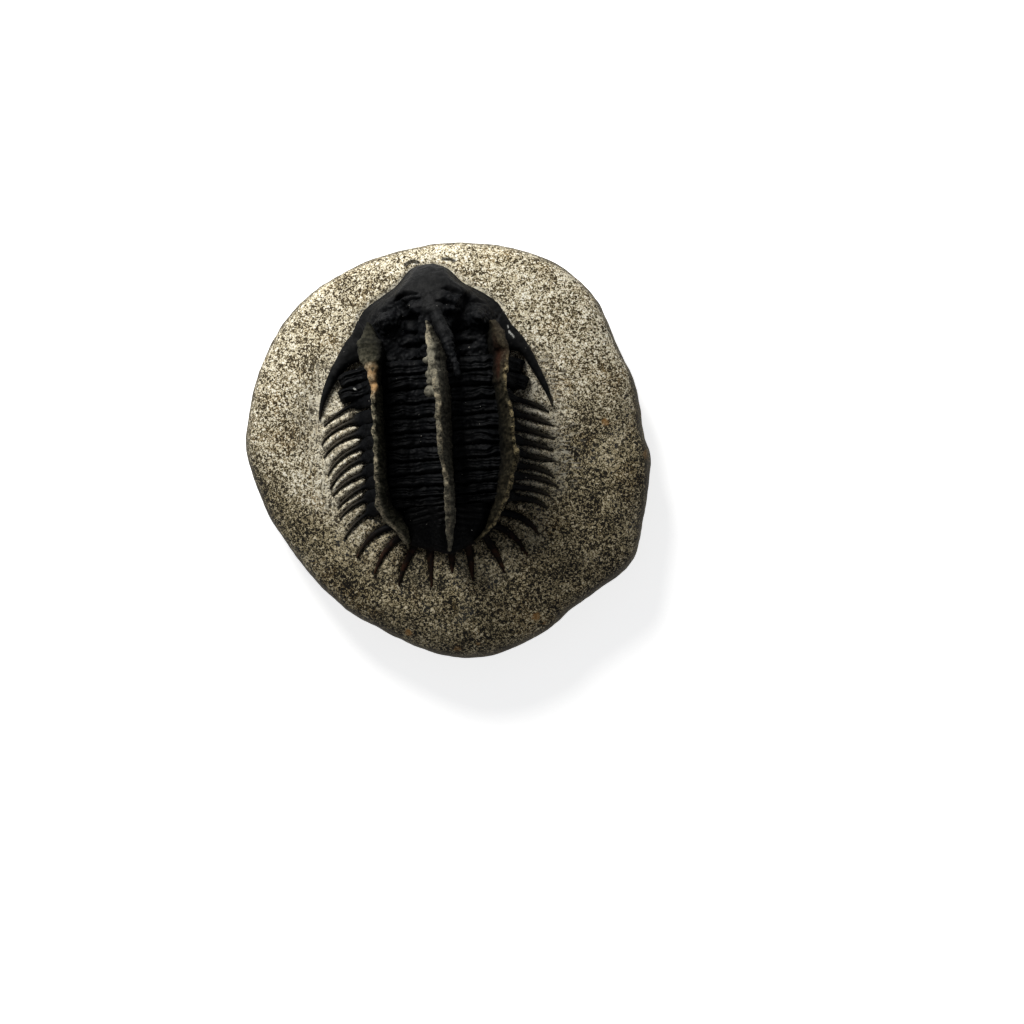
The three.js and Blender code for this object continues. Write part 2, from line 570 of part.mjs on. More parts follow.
// A standing wall of rock with an uneven crest, cut to the back that it stands on
function spineWall(wall, backs) {
  const count = Math.round((wall.to - wall.from) / WALL_STEP);
  const sections = Array.from({ length: count + 1 }, (_, i) =>
    wallSection(wall, THREE.MathUtils.lerp(wall.from, wall.to, i / count)));
  const plain = loft(sections);
  const knobs = wall.knobs.map(([l, a, z, radius]) => {
    const ball = new THREE.IcosahedronGeometry(radius, 1);
    ball.translate(l, -a, z);
    return solidOf(ball);
  });
  return knobs.reduce((whole, knob) => whole.add(knob), plain).subtract(backs);
}

// The slab: rings of its outline from the flat base to the crown, with the animal's pocket cut in
function matrixSlab(pocket) {
  const corners = SLAB_OUTLINE.map(([x, y]) => new THREE.Vector3(x, y, 0));
  const round = new THREE.CatmullRomCurve3(corners, true).getSpacedPoints(SLAB_SIDES);
  const outline = round.slice(0, SLAB_SIDES);
  const centre = new THREE.Box3().setFromPoints(outline).getCenter(new THREE.Vector3());
  const rings = SLAB_EDGE.map(([inset, z]) => outline.map((point) => {
    const ray = point.clone().sub(centre);
    return ray.multiplyScalar(1 - inset / SLAB_RADIUS).setZ(z);
  }));
  const crown = rings.at(-1).map((point) => {
    const inward = point.clone().multiplyScalar(SLAB_CROWN_SHARE);
    return inward.setZ(SLAB_CROWN);
  });
  return loft([...rings, crown]).subtract(pocket);
}

// Finishes, one to each kind of stone
const FINISHES = {
  limestone: { color: 0x8d8470, roughness: 0.92, metalness: 0 },
  fossil: { color: 0x1b1c1f, roughness: 0.55, metalness: 0 },
  wallRock: { color: 0x4d4a40, roughness: 0.85, metalness: 0 },
};

function pieceOf(name, solid, finish) {
  const piece = new THREE.Mesh(geometryOf(solid), new THREE.MeshStandardMaterial(FINISHES[finish]));
  piece.name = name;
  return piece;
}

// The animal lies turned a little on the slab
const animal = new THREE.Group();
animal.position.set(...ANIMAL_PLACE, 0);
animal.rotation.z = THREE.MathUtils.degToRad(ANIMAL_TURN);

const segmentNumbers = Array.from({ length: SEGMENT_EDGES.length - 1 }, (_, i) => i + 1);
const smoothBody = thoraxBody(THORAX_GAP).add(cephalon(GAP)).add(pygidium(GAP));
const grownBody = segmentNumbers.map((number) => thoracicSegment(number, GAP)).reduce(
  (whole, segment) => whole.add(segment),
  smoothBody,
);

animal.add(pieceOf('cephalon', cephalon(0), 'fossil'));
for (const number of segmentNumbers) {
  const name = `thoracic_segment_${String(number).padStart(2, '0')}`;
  animal.add(pieceOf(name, thoracicSegment(number, 0), 'fossil'));
}
animal.add(pieceOf('pygidium', pygidium(0), 'fossil'));
animal.add(pieceOf('spine_wall_left', spineWall(WALL_LEFT, smoothBody), 'wallRock'));
animal.add(pieceOf('spine_wall_middle', spineWall(WALL_MIDDLE, smoothBody), 'wallRock'));
animal.add(pieceOf('spine_wall_right', spineWall(WALL_RIGHT, smoothBody), 'wallRock'));

const pocket = grownBody.rotate([0, 0, ANIMAL_TURN]).translate([...ANIMAL_PLACE, 0]);
const fossil = new THREE.Group();
fossil.add(pieceOf('matrix_slab', matrixSlab(pocket), 'limestone'), animal);

export default fossil;
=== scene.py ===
"""A spiny fossil trilobite on its slab of limestone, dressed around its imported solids.

Lengths are millimetres, as a preparator would measure them, and MM turns them into metres when a mesh
is made.
The animal has a frame of its own: l runs to its right-hand side as seen from above, and a runs from the back
edge of its head towards its tail.
"""
import math

import bpy
import numpy as np
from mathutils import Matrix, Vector


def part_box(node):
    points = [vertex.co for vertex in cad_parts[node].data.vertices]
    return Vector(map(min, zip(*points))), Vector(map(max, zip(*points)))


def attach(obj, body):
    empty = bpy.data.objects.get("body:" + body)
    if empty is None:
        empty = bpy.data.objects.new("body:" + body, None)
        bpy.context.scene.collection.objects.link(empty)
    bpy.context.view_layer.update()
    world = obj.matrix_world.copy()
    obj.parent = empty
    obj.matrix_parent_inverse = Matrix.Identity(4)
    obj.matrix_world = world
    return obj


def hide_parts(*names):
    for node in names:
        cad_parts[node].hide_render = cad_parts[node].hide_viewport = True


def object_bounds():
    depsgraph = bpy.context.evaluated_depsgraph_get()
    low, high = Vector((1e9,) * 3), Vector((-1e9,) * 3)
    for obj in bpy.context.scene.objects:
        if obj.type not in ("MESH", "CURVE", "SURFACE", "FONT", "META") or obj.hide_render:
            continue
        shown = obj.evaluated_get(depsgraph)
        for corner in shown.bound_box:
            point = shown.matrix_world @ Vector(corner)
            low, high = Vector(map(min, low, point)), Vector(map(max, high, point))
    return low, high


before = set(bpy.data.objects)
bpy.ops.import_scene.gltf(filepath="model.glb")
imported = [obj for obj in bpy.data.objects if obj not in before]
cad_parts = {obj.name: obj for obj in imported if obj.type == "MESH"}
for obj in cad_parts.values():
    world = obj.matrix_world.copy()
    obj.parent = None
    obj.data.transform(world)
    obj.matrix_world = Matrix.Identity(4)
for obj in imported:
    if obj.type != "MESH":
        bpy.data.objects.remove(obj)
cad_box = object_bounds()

MM = 0.001

# The slab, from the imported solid, and how the animal lies on it
SLAB_LOW, SLAB_HIGH = (np.array(corner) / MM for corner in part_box("matrix_slab"))
SLAB_RADIUS = 50
SLAB_FACE = 20
ANIMAL_PLACE = (-1.995, 21.033)
ANIMAL_TURN = math.radians(4)
HIGHEST = cad_box[1][2] / MM

SLAB_OUTLINE = [
    (1, 51.5), (15, 50.4), (26.6, 46.2), (36.2, 37.9), (41.5, 27), (46.4, 15.8), (48.2, 4.7), (50, -2.9),
    (48.3, -15.9), (45.4, -27.4), (36.1, -35.1), (30.2, -39.2), (24.1, -44.7), (12.2, -50.2), (0, -50.8),
    (-12.8, -46.2), (-26.2, -38.4), (-36, -28.4), (-44.5, -15.3), (-49.6, -1.5), (-49.2, 9.4), (-45.4, 23.2),
    (-38, 35), (-26.2, 43.9), (-12.5, 49.3),
]
SLAB_EDGE = [(6, 0), (2.6, 2), (0.7, 5), (0, 9.5), (0.5, 13), (1.5, 15.6), (3.2, 17.2)]
SLAB_TOP = [(3.2, 17.2), (6.5, 18.4), (13, 19.5), (28, 20.4), (50, 20.6)]
SLAB_COLUMNS = 640
SLAB_EDGE_ROWS = 26
SLAB_OPEN_ROWS = 48
SLAB_FRINGE_ROWS = 76

# Thorax
SEGMENT_EDGES = [0, 3.5, 6.92, 10.35, 13.74, 17.22, 20.68, 23.85, 26.91, 29.73, 32.32, 34.67]
FULCRUM = 13
BODY_BOTTOM = 17.5
BACK_PROFILE = [
    (0, 31), (3.2, 30.2), (5.4, 28.4), (9.3, 29.3), (13, 28.7), (15.2, 26.9), (17.4, 24), (19.6, 21.9),
    (23.5, 21.3), (30, 20.6),
]
BACK_FADE = [(0, 1), (20, 1), (28, 0.92), (34.7, 0.76), (46, 0.5)]
LEFT_PLEURAE = [
    ((-16.5, 1.9), (-20.5, 2.3), (-24, 3.6)), ((-16.5, 5.3), (-20.5, 5.8), (-24.2, 7.2)),
    ((-19, 8.4), (-24.5, 9.9), (-28.6, 13.6)), ((-17.6, 12.3), (-27.4, 13.7), (-29.5, 18.1)),
    ((-17, 15.6), (-25.9, 16.2), (-29.2, 21.2)), ((-16.7, 18.6), (-25.2, 19.6), (-28.5, 25.4)),
    ((-16.7, 21.8), (-24.6, 22.3), (-28.2, 28.7)), ((-16.7, 25), (-24.4, 26.4), (-27.7, 30.4)),
    ((-16.6, 28), (-22.9, 29.2), (-26.8, 33.5)), ((-17.4, 31.2), (-23.9, 32.7), (-26.4, 36.1)),
    ((-17.4, 34.2), (-22.5, 36.2), (-25.7, 41)),
]
RIGHT_PLEURAE = [
    ((15.5, 2), (18.2, 2.1), (20, 3.1)), ((15.5, 5.5), (18.7, 6), (20.9, 7)),
    ((17.4, 10.3), (22.7, 11.8), (25.5, 14)), ((17.8, 14), (23.1, 15.6), (26.4, 17.4)),
    ((18.1, 17.3), (22.6, 18.8), (26.4, 20.6)), ((18.6, 20.6), (22.2, 21.6), (25.8, 23.3)),
    ((18.1, 23.5), (21.6, 25), (26.5, 25.9)), ((17.5, 26.4), (23.6, 27.2), (25.7, 29.9)),
    ((17.4, 28.9), (23.2, 29.4), (26.5, 32.2)), ((16, 31.3), (22.6, 32.5), (24.5, 34.3)),
    ((16, 33.9), (22.2, 34.7), (23.5, 37.4)),
]
BLUNT_SEGMENTS = 2
BLUNT_END = 22.8
SPINE_WIDTHS = (
    [(0, 3.3), (0.16, 3.1), (0.2, 2.1), (0.24, 1.15), (0.32, 0.8), (0.65, 0.56), (1, 0.2)],
    [(0, 1.75), (0.07, 1.3), (0.2, 1.12), (0.5, 1.02), (0.8, 0.7), (1, 0.2)],
)
TAIL_SPINE_WIDTH = (1.7, 0.3)

# Edge of the thorax between the roots of its spines, in l and a
THORAX_EDGE_LEFT = [(-23.4, 3.4), (-23.8, 7.6), (-17.6, 10), (-17, 33)]
THORAX_EDGE_RIGHT = [(19.6, 0.4), (20.1, 3.2), (20.8, 7.4), (16.5, 9.4), (15.6, 33)]
SPINE_DEPTH = 1.7
SPINE_TIP_HEIGHT = 20.3

# Tail shield
PYGIDIUM_START = 34.7
PYGIDIUM_END = 46.2
PYGIDIUM_LEFT = [
    (34.8, -12.8), (35.7, -14.3), (37.2, -14.3), (39.1, -13.5), (41.6, -11.8), (43.2, -9.9), (44.4, -7.4),
    (45.5, -3.6), (46.2, -2),
]
PYGIDIUM_RIGHT = [
    (34.8, 12.4), (36.7, 13), (39, 11.7), (40.7, 10.4), (41.6, 9.6), (43.2, 7.1), (44.3, 5.3), (45.4, 2.8),
    (46.2, 0.8),
]
PYGIDIUM_RIDGE = [(34.8, 28.4), (38, 27.2), (42, 25.4), (46.2, 23)]
PYGIDIUM_RIM = 22.2
TAIL_SPINES = [
    ((-12.6, 38.8), (-19.1, 38.7), (-23, 45.8)), ((-10.8, 41), (-15.8, 42.5), (-19, 49.9)),
    ((-8, 42.8), (-12.1, 48.1), (-13.4, 53.2)), ((-5, 43.2), (-5.4, 48.7), (-5.5, 54)),
    ((-0.1, 45), (-0.2, 48.5), (-0.3, 51)), ((3.9, 44), (4.5, 49.3), (4.5, 53.1)),
    ((8, 42.4), (11.2, 47.5), (12.2, 51.8)), ((10, 40), (15.3, 41.9), (18, 48.1)),
    ((12.4, 37.2), (19.2, 38.5), (21.1, 43.5)),
]

# Head shield
HEAD_FRONT = -23.1
HEAD_BACK = -0.1
HEAD_LEFT = [
    (-23.1, -2.9), (-22.5, -4.8), (-21.2, -6.4), (-18.5, -9), (-16.3, -12.4), (-14.3, -15.7), (-12.6, -17.5),
    (-10.6, -18.6), (-7.6, -20), (-5, -19.6), (-1.6, -18.2), (-0.1, -17.8),
]
HEAD_RIGHT = [
    (-23.1, 0.8), (-22.5, 2.6), (-21.7, 4), (-20.2, 5.4), (-18.2, 7.3), (-15.7, 11.5), (-12.9, 15.1),
    (-11.1, 16.1), (-8.7, 17.2), (-6.6, 18.6), (-4.8, 18.6), (-1.6, 17.6), (-0.1, 17.2),
]
HEAD_RIDGE = [(-23.1, 23), (-21.6, 25.6), (-19, 28.2), (-15, 30.6), (-11, 32), (-5, 31.6), (0, 31)]
GLABELLA_HALF_WIDTH = [(-23.1, 2.6), (-19, 7), (-16, 8.6), (-12, 6.8), (-7, 5.2), (0, 5.4)]
HEAD_RIM = 21.6
CHEEK = 26.6
EYES = [(-11.4, -9.3), (10.6, -9.2)]
EYE_HEIGHT = 4.4
EYE_RADIUS = 2.4
CHEEK_SPINES = [
    [
        ((-18.4, -10.8), (-14.5, -4.5), 25), ((-20.2, -7.6), (-17, -2.4), 24.4),
        ((-21.9, -5.7), (-19.2, -1.1), 23.8), ((-23.9, -2.8), (-21.6, -0.1), 23),
        ((-26.1, 0.6), (-24.1, 2.3), 22.2), ((-27.8, 4.1), (-26.3, 5.4), 21.7),
        ((-29, 7.8), (-28, 8.4), 21.3), ((-29.8, 12), (-29.4, 12.1), 20.8),
    ],
    [
        ((16.2, -10.8), (12.5, -4.5), 25), ((18.2, -7.2), (15, -2.4), 24.4), ((20.1, -5), (17.6, -1.3), 23.8),
        ((21.9, -2), (19.8, -0.4), 23), ((23.7, 2.2), (21.9, 3.1), 22.2), ((25.2, 6), (23.7, 6.6), 21.7),
        ((26.1, 9.2), (25.1, 9.5), 21.3), ((26.8, 12.8), (26.4, 12.9), 20.8),
    ],
]
CHEEK_SPINE_DEPTH = 2.6
NECK_SPINE = [(0, -11.4, 31.5), (1.2, -8, 33.2), (2.6, -4.3, 35), (3.8, 0.2, 36.6), (4.9, 5, 37.8)]
NECK_SPINE_WIDTH = [(0, 3.1), (0.35, 3.3), (0.65, 2.5), (0.88, 1.5), (1, 0.9)]

# Slits and hollows of the head: points along each, its half width and its depth
HEAD_SLITS = [
    ([(2.4, -16.2), (4.4, -16), (6.8, -14.7)], 0.6, 1.5),
    ([(0.9, -13.2), (3.6, -12.8), (6.2, -11.4)], 0.55, 1.4),
    ([(2.6, -10), (4, -9.4), (5.4, -9.2)], 1.2, 2),
    ([(-9.2, -14.2), (-6.6, -15.6), (-3.8, -15.3)], 0.55, 1.5),
    ([(-7.2, -12.9), (-5.2, -13.9), (-3, -14)], 0.5, 1.1),
    ([(-7.4, -9.8), (-5.6, -9.5), (-3.6, -10.2)], 1.25, 2.1),
    ([(-8.6, -3.5), (-5, -3.2), (-1.6, -3.6)], 0.7, 1.3),
    ([(4.4, -3.4), (6.6, -3), (9.4, -3.6)], 0.7, 1.3),
    ([(8.6, -12.9), (10.6, -13.2), (12.6, -12.3)], 0.4, 0.8),
    ([(-13.6, -11.4), (-12, -12.6), (-9.8, -12.7)], 0.45, 0.9),
    ([(-7.6, -7), (-6.4, -6.2), (-4.6, -6.4)], 0.6, 1.1),
    ([(4.6, -6.4), (6.2, -6), (8, -6.8)], 0.6, 1.1),
]

# Rock walls along the back. Every list is read along the animal.
WALL_MIDDLE = {
    "from": -8.8, "to": 45.6, "crest starts": (-10, -6), "rim side": 0,
    "fade": [(-8, 9), (40, 9)],
    "foot": [
        (-8.8, -1.4), (-5, -0.4), (-2, 0.4), (8, 1.15), (20, 1), (31, 0.85), (37, 0.9), (42, 0.2),
        (45.6, -0.4),
    ],
    "crest": [
        (-8.8, -2.1), (-5, -1.6), (-2, -1), (3, -0.8), (8.8, -0.1), (11, 0.1), (14.3, -0.4), (18, -0.1),
        (24, -0.1), (27, 0.2), (38, 0.25), (42, 0.1), (45.6, -0.4),
    ],
    "top": [
        (-8.8, 33), (-5.7, 36), (-2, 39), (1.7, 41), (8.8, 44), (21, 44.2), (27, 43), (33.8, 40), (41, 34.6),
        (45.6, 27),
    ],
    "bottom": [(-8.8, 30.6), (0, 29.4), (20, 29.4), (34, 26), (45.6, 21.6)],
    "thick": [
        (-8.8, 0.8), (-6, 2.2), (-3, 3.5), (4, 3.2), (10, 2.9), (20, 2.6), (37, 2.4), (42, 1.7), (45.6, 0.8),
    ],
    "top share": [(-8.8, 0.4), (0, 0.5), (10, 0.5), (24, 0.42), (45.6, 0.6)],
    "lumps": [
        (-1.8, 8.5, 40.5, 1.45), (-2.2, 1.1, 38.4, 0.9), (-1.2, 4.6, 39.8, 1.4), (-1.3, 6.2, 40.8, 1),
        (-1.1, 3, 39.6, 1), (-0.5, 14.4, 42.6, 0.8),
    ],
}
WALL_LEFT = {
    "from": -9.6, "to": 43, "crest starts": (-1, 2), "rim side": -1,
    "fade": [(-9, 3.4), (0, 2.6), (6, 2.2), (28, 2.2), (34, 3), (38, 4.4), (43, 3)],
    "foot": [
        (-9.6, -15.4), (-2, -15.1), (1, -15), (4, -14.6), (8, -14.3), (25, -14.4), (30, -14.5), (33, -14.3),
        (35, -13.4), (37, -12), (39.4, -10.9), (41.8, -10.5), (43, -10.3),
    ],
    "crest": [
        (-9.6, -15.8), (-2, -15.2), (3.7, -14.7), (8.5, -14.5), (14.6, -14.8), (21, -15.1), (24.4, -15.1),
        (31.5, -15.4), (35.3, -15), (37.4, -14), (39.2, -12.4), (41.6, -11.1), (43, -10.4),
    ],
    "top": [
        (-9.6, 29), (-6, 33), (-2, 37), (2, 40), (9.9, 42.2), (20, 41.8), (26, 40.4), (30.4, 38), (34, 34),
        (38, 28.6), (41, 25.4), (43, 24),
    ],
    "bottom": [(-9.6, 22.4), (0, 23.2), (25, 23.2), (34, 22), (37, 21.2), (43, 20.4)],
    "thick": [
        (-9.6, 0.9), (-6, 3.4), (-2.5, 5.8), (0, 5), (2.2, 3.4), (4, 2.8), (8, 2.3), (28, 2.3), (31, 3),
        (33, 4), (35, 5.2), (37, 6), (39.4, 5.6), (41.8, 3), (43, 1.2),
    ],
    "top share": [
        (-9.6, 0.6), (-5, 0.95), (0, 0.95), (2.2, 0.8), (4, 0.6), (8, 0.5), (27, 0.5), (33, 0.45), (37, 0.3),
        (39.4, 0.3), (43, 0.8),
    ],
    "lumps": [],
}
WALL_RIGHT = {
    "from": -8, "to": 43.8, "crest starts": (0, 4), "rim side": 1,
    "fade": [(-8, 1.6), (-3, 3), (4, 3.2), (12, 2.8), (20, 3), (28, 3.6), (36, 3.4), (43, 2)],
    "foot": [
        (-8, 13.4), (-3, 13.2), (2.7, 13.6), (7, 13.5), (10, 13.8), (20, 13.8), (25, 13.6), (28.8, 12.9),
        (33.2, 11.8), (38.1, 9.9), (41.6, 8), (43.8, 5.7),
    ],
    "crest": [
        (-8, 13.5), (-6.7, 14.5), (-2.2, 15.8), (0.4, 16.4), (5.4, 15.5), (9.8, 15.6), (14.1, 16.2),
        (21, 16.5), (25.3, 16.5), (30.8, 14.8), (35, 13.1), (36.7, 12.3), (39, 10.8), (41.2, 8.9),
        (43.8, 5.8),
    ],
    "top": [
        (-8, 30), (-3.5, 36), (0.3, 39), (7.5, 42), (21, 42), (26.3, 40), (29.2, 38), (32.5, 35), (36, 31),
        (39, 27.6), (43.8, 24.2),
    ],
    "bottom": [(-8, 22.6), (0, 23), (25, 23), (31, 22.2), (43.8, 20.6)],
    "thick": [
        (-8, 2.6), (-3, 4.2), (2.7, 3.5), (7, 3.4), (10, 2.9), (20, 2.8), (25, 3.2), (28.8, 4), (33.2, 3.8),
        (38.1, 3.4), (41.6, 2.4), (43.8, 1.2),
    ],
    "top share": [(-8, 0.6), (-3, 0.45), (4, 0.4), (25, 0.42), (30, 0.34), (38, 0.4), (43.8, 0.7)],
    "lumps": [],
}
WALL_STEP = 0.35

# Small chalk marks on the shell and chalky scratches in the rock, as lines in l and a
CHALK_MARKS = [
    [(17.3, -5.6), (17.8, -4.9)], [(18, -4.8), (18.4, -4.2)], [(17.1, -6.9), (17.2, -6.6)],
    [(-20.5, 5.3), (-20, 5.8)],
]
CHALKY_SLIVER = [(20.6, 1.2), (21.3, 3.4), (22, 5.6), (22.9, 8)]
CHALKY_SCRATCH = [(-1.9, -23.6), (0.2, -25.6), (1.5, -26.4)]

# Dark flakes in the rock, each a line in l and a with its half width
DARK_FLAKES = [
    ([(-6.4, -24), (-4.9, -24.7), (-3.6, -24.4)], 0.5), ([(2.6, -24.7), (4.4, -24.5), (5.4, -24)], 0.42),
    ([(-7.6, 59.4), (-5.6, 58.4), (-2.6, 58.4)], 0.16),
]

# Stains of the slab, in its x and y, with height for rust, and how far each reaches
RUST_SPOTS = [
    (49, -1.5, 15, 2.6), (21.5, -40.5, 18, 1.6), (23.4, -42.2, 17, 1.2), (2.5, -49, 17.5, 2),
    (7.5, -47.5, 18, 1.4), (-9.5, -44.6, 17.5, 1.6), (38, 6.5, 19.4, 1.4), (44, 24, 16, 1.5),
]
DIM_PATCHES = [
    (36.5, 4.5, 8), (37, -12, 8), (5.5, -43, 6), (-32, 20, 5), (-39, -6, 5), (43, 18, 6), (-24, -34, 5),
    (28, -30, 6), (24, 30, 4), (0, -32, 5),
]
OCHRE_PATCHES = [
    (11.5, 45, 3.2), (14.4, 41, 3), (-38, 3, 3.5), (45, -6, 4), (28, 14, 3), (-27, -36, 4), (19, -42, 4),
]

# Stains of the walls, in l, a and height, and how far each reaches
LEFT_WARM_SPOTS = [(-14.8, 3.4, 40, 1.8), (-14.8, 6.4, 41.6, 1.7)]
LEFT_STAINS = [(-14.4, -6, 30, 9), (-14.2, -3, 35, 7), (-14.4, 10.6, 41, 1.2)]
MIDDLE_WARM_SPOTS = [(-1.5, 8.5, 41, 2), (-0.5, 2, 37, 5)]
RIGHT_WARM_SPOTS = [(14.5, -4, 32, 5)]
RIGHT_STAINS = [(14, 1, 33, 3.4), (14.4, 3.4, 37, 3)]

VOXEL = 0.26

# View: straight down from above the lower right of the slab, as the picture was taken
VIEW_PLACE = (15.6, -15.17)
VIEW_DISTANCE = 450
VIEW_WIDTH = 245.8
SENSOR = 36

# Studio
STAGE_RADIUS = 2500
FLOOR_GLOW = 0.75
SKY = 0.16
LAMP_PLACE = (-95, 210, 190)
LAMP_SIZE = 140
LAMP_POWER = 1.15


# Numbers

def lerp(start, end, share):
    return start + (end - start) * share


def smoothstep(low, high, value):
    share = np.clip((value - low) / (high - low), 0, 1)
    return share * share * (3 - 2 * share)


def bump(distance, width):
    """A soft hill that is 1 at no distance."""
    return np.exp(-((distance / width) ** 2))


def profile(pairs, places):
    """Reads a smooth value off a list of places and values, level beyond its ends."""
    xs, ys = np.array(pairs, float).T
    slopes = np.gradient(ys)
    slopes[1:-1] = (ys[2:] - ys[:-2]) / (xs[2:] - xs[:-2])
    slopes[0] = (ys[1] - ys[0]) / (xs[1] - xs[0])
    slopes[-1] = (ys[-1] - ys[-2]) / (xs[-1] - xs[-2])
    held = np.clip(places, xs[0], xs[-1])
    i = np.clip(np.searchsorted(xs, held, side="right") - 1, 0, len(xs) - 2)
    span = xs[i + 1] - xs[i]
    t = (held - xs[i]) / span
    start = ys[i] * (1 + 2 * t) * (1 - t) ** 2 + span * slopes[i] * t * (1 - t) ** 2
    end = ys[i + 1] * (3 - 2 * t) * t ** 2 - span * slopes[i + 1] * (1 - t) * t ** 2
    return start + end


def corner_number(ix, iy, iz, seed):
    """A repeatable number from 0 to 1 for each corner of a grid."""
    mixed = ix * 73856093 ^ iy * 19349663 ^ iz * 83492791 ^ seed * 50331653
    mixed = (mixed ^ (mixed >> 13)) * 1274126177
    mixed = (mixed ^ (mixed >> 16)) & 0xFFFFFF
    return mixed / 0xFFFFFF


def noise(points, size, seed, octaves=1):
    """Smooth noise from about -1 to 1 over points, with lumps of the given size."""
    total = np.zeros(len(points))
    strength, reach = 1.0, 0.0
    for octave in range(octaves):
        scaled = points / size * 2 ** octave
        base = np.floor(scaled).astype(np.int64)
        part = scaled - base
        part = part * part * (3 - 2 * part)
        value = np.zeros(len(points))
        for corner in range(8):
            step = np.array([corner & 1, corner >> 1 & 1, corner >> 2 & 1])
            weight = np.prod(np.where(step, part, 1 - part), axis=1)
            value += weight * corner_number(*(base + step).T, seed + octave)
        total += strength * (value * 2 - 1)
        reach += strength
        strength *= 0.5
    return total / reach


def granules(points, size, seed):
    """Distance to the nearest of many scattered grains, as a share of their spacing."""
    scaled = points / size
    base = np.floor(scaled).astype(np.int64)
    nearest = np.full(len(points), 9.0)
    for code in range(27):
        cell = base + np.array([code % 3, code // 3 % 3, code // 9]) - 1
        jitter = np.stack([corner_number(*cell.T, seed + axis) for axis in range(3)], axis=1)
        nearest = np.minimum(nearest, np.linalg.norm(scaled - cell - jitter, axis=1))
    return nearest


def bow_points(spine, count):
    """Points along a spine given by its root, its bend and its tip."""
    root, bend, tip = (np.array(point, float) for point in spine)
    t = np.linspace(0, 1, count)[:, None]
    return root * (1 - t) ** 2 + bend * 2 * t * (1 - t) + tip * t ** 2


def flowing_line(points, count, closed=False):
    """Evenly spaced points of a smooth curve through the given ones."""
    points = np.array(points, float)
    if closed:
        padded = np.concatenate([points[-1:], points, points[:2]])
    else:
        padded = np.concatenate([2 * points[:1] - points[1:2], points, 2 * points[-1:] - points[-2:-1]])
    fine = []
    for before, start, end, after in zip(padded, padded[1:], padded[2:], padded[3:]):
        t = np.linspace(0, 1, 24, endpoint=False)[:, None]
        bend = 2 * before - 5 * start + 4 * end - after
        twist = 3 * start - before - 3 * end + after
        fine.append(0.5 * (2 * start + (end - before) * t + bend * t ** 2 + twist * t ** 3))
    fine = np.concatenate(fine + [padded[-2:-1]])
    run = np.concatenate([[0], np.cumsum(np.linalg.norm(np.diff(fine, axis=0), axis=1))])
    wanted = np.linspace(0, run[-1], count, endpoint=not closed)
    return np.stack([np.interp(wanted, run, fine[:, axis]) for axis in range(fine.shape[1])], axis=1)


def distance_to_line(places, line):
    """Distance from each place to a line of points, and the share along it of the nearest point."""
    best = np.full(len(places), 1e9)
    share = np.zeros(len(places))
    steps = len(line) - 1
    for i, (start, end) in enumerate(zip(line, line[1:])):
        way = end - start
        t = np.clip((places - start) @ way / (way @ way), 0, 1)
        away = np.linalg.norm(places - start - t[:, None] * way, axis=1)
        closer = away < best
        best = np.where(closer, away, best)
        share = np.where(closer, (i + t) / steps, share)
    return best, share


def inside_outline(places, outline):
    """Distance to a closed outline, above zero inside it."""
    ring = np.concatenate([outline, outline[:1]])
    away, _ = distance_to_line(places, ring)
    crossings = np.zeros(len(places), int)
    x, y = places.T
    for (x0, y0), (x1, y1) in zip(ring, ring[1:]):
        if y0 != y1:
            hit = (y0 > y) != (y1 > y)
            crossings += hit & (x < (x1 - x0) * (y - y0) / (y1 - y0) + x0)
    return np.where(crossings % 2 == 1, away, -away)


def slab_from_animal(points):
    """Turns l, a and height into the slab's x, y and z."""
    l, a, z = points.T
    cos, sin = math.cos(ANIMAL_TURN), math.sin(ANIMAL_TURN)
    x = ANIMAL_PLACE[0] + l * cos + a * sin
    y = ANIMAL_PLACE[1] + l * sin - a * cos
    return np.stack([x, y, z], axis=1)


def animal_from_slab(points):
    """Turns the slab's x and y into l and a."""
    dx = points[:, 0] - ANIMAL_PLACE[0]
    dy = points[:, 1] - ANIMAL_PLACE[1]
    cos, sin = math.cos(ANIMAL_TURN), math.sin(ANIMAL_TURN)
    return np.stack([dx * cos + dy * sin, dx * sin - dy * cos], axis=1)


# Meshes

def solid_mesh(name, parts):
    """An object of one or more closed grids. Each part is its rings of points, in slab millimetres."""
    points, faces = [], []
    start = 0
    for rings in parts:
        rows, columns, _ = rings.shape
        index = np.arange(rows * columns).reshape(rows, columns) + start
        beside = np.roll(index, -1, axis=1)
        quads = np.stack([index[:-1], beside[:-1], beside[1:], index[1:]], axis=-1).reshape(-1, 4)
        volume = signed_volume(rings)
        ends = [index[0][::-1], index[-1]]
        if volume < 0:
            quads = quads[:, ::-1]
            ends = [end[::-1] for end in ends]
        faces += quads.tolist() + [end.tolist() for end in ends]
        points.append(rings.reshape(-1, 3))
        start += rows * columns
    mesh = bpy.data.meshes.new(name)
    mesh.from_pydata((np.concatenate(points) * MM).tolist(), [], faces)
    mesh.update()
    piece = bpy.data.objects.new(name, mesh)
    bpy.context.scene.collection.objects.link(piece)
    return piece


def signed_volume(rings):
    """Volume inside a row of rings, above zero where its quads face outwards."""
    a, b = rings[:-1], np.roll(rings[:-1], -1, axis=1)
    c, d = np.roll(rings[1:], -1, axis=1), rings[1:]
    first = np.einsum("ijk,ijk->", a, np.cross(b, c))
    return first + np.einsum("ijk,ijk->", a, np.cross(c, d))


def read_points(piece):
    mesh = piece.data
    flat = np.empty(len(mesh.vertices) * 3)
    mesh.vertices.foreach_get("co", flat)
    return flat.reshape(-1, 3) / MM


def read_normals(piece):
    mesh = piece.data
    flat = np.empty(len(mesh.vertices) * 3, dtype=np.float32)
    mesh.vertices.foreach_get("normal", flat)
    return flat.reshape(-1, 3).astype(float)


def write_points(piece, points):
    piece.data.vertices.foreach_set("co", (points * MM).ravel())
    piece.data.update()


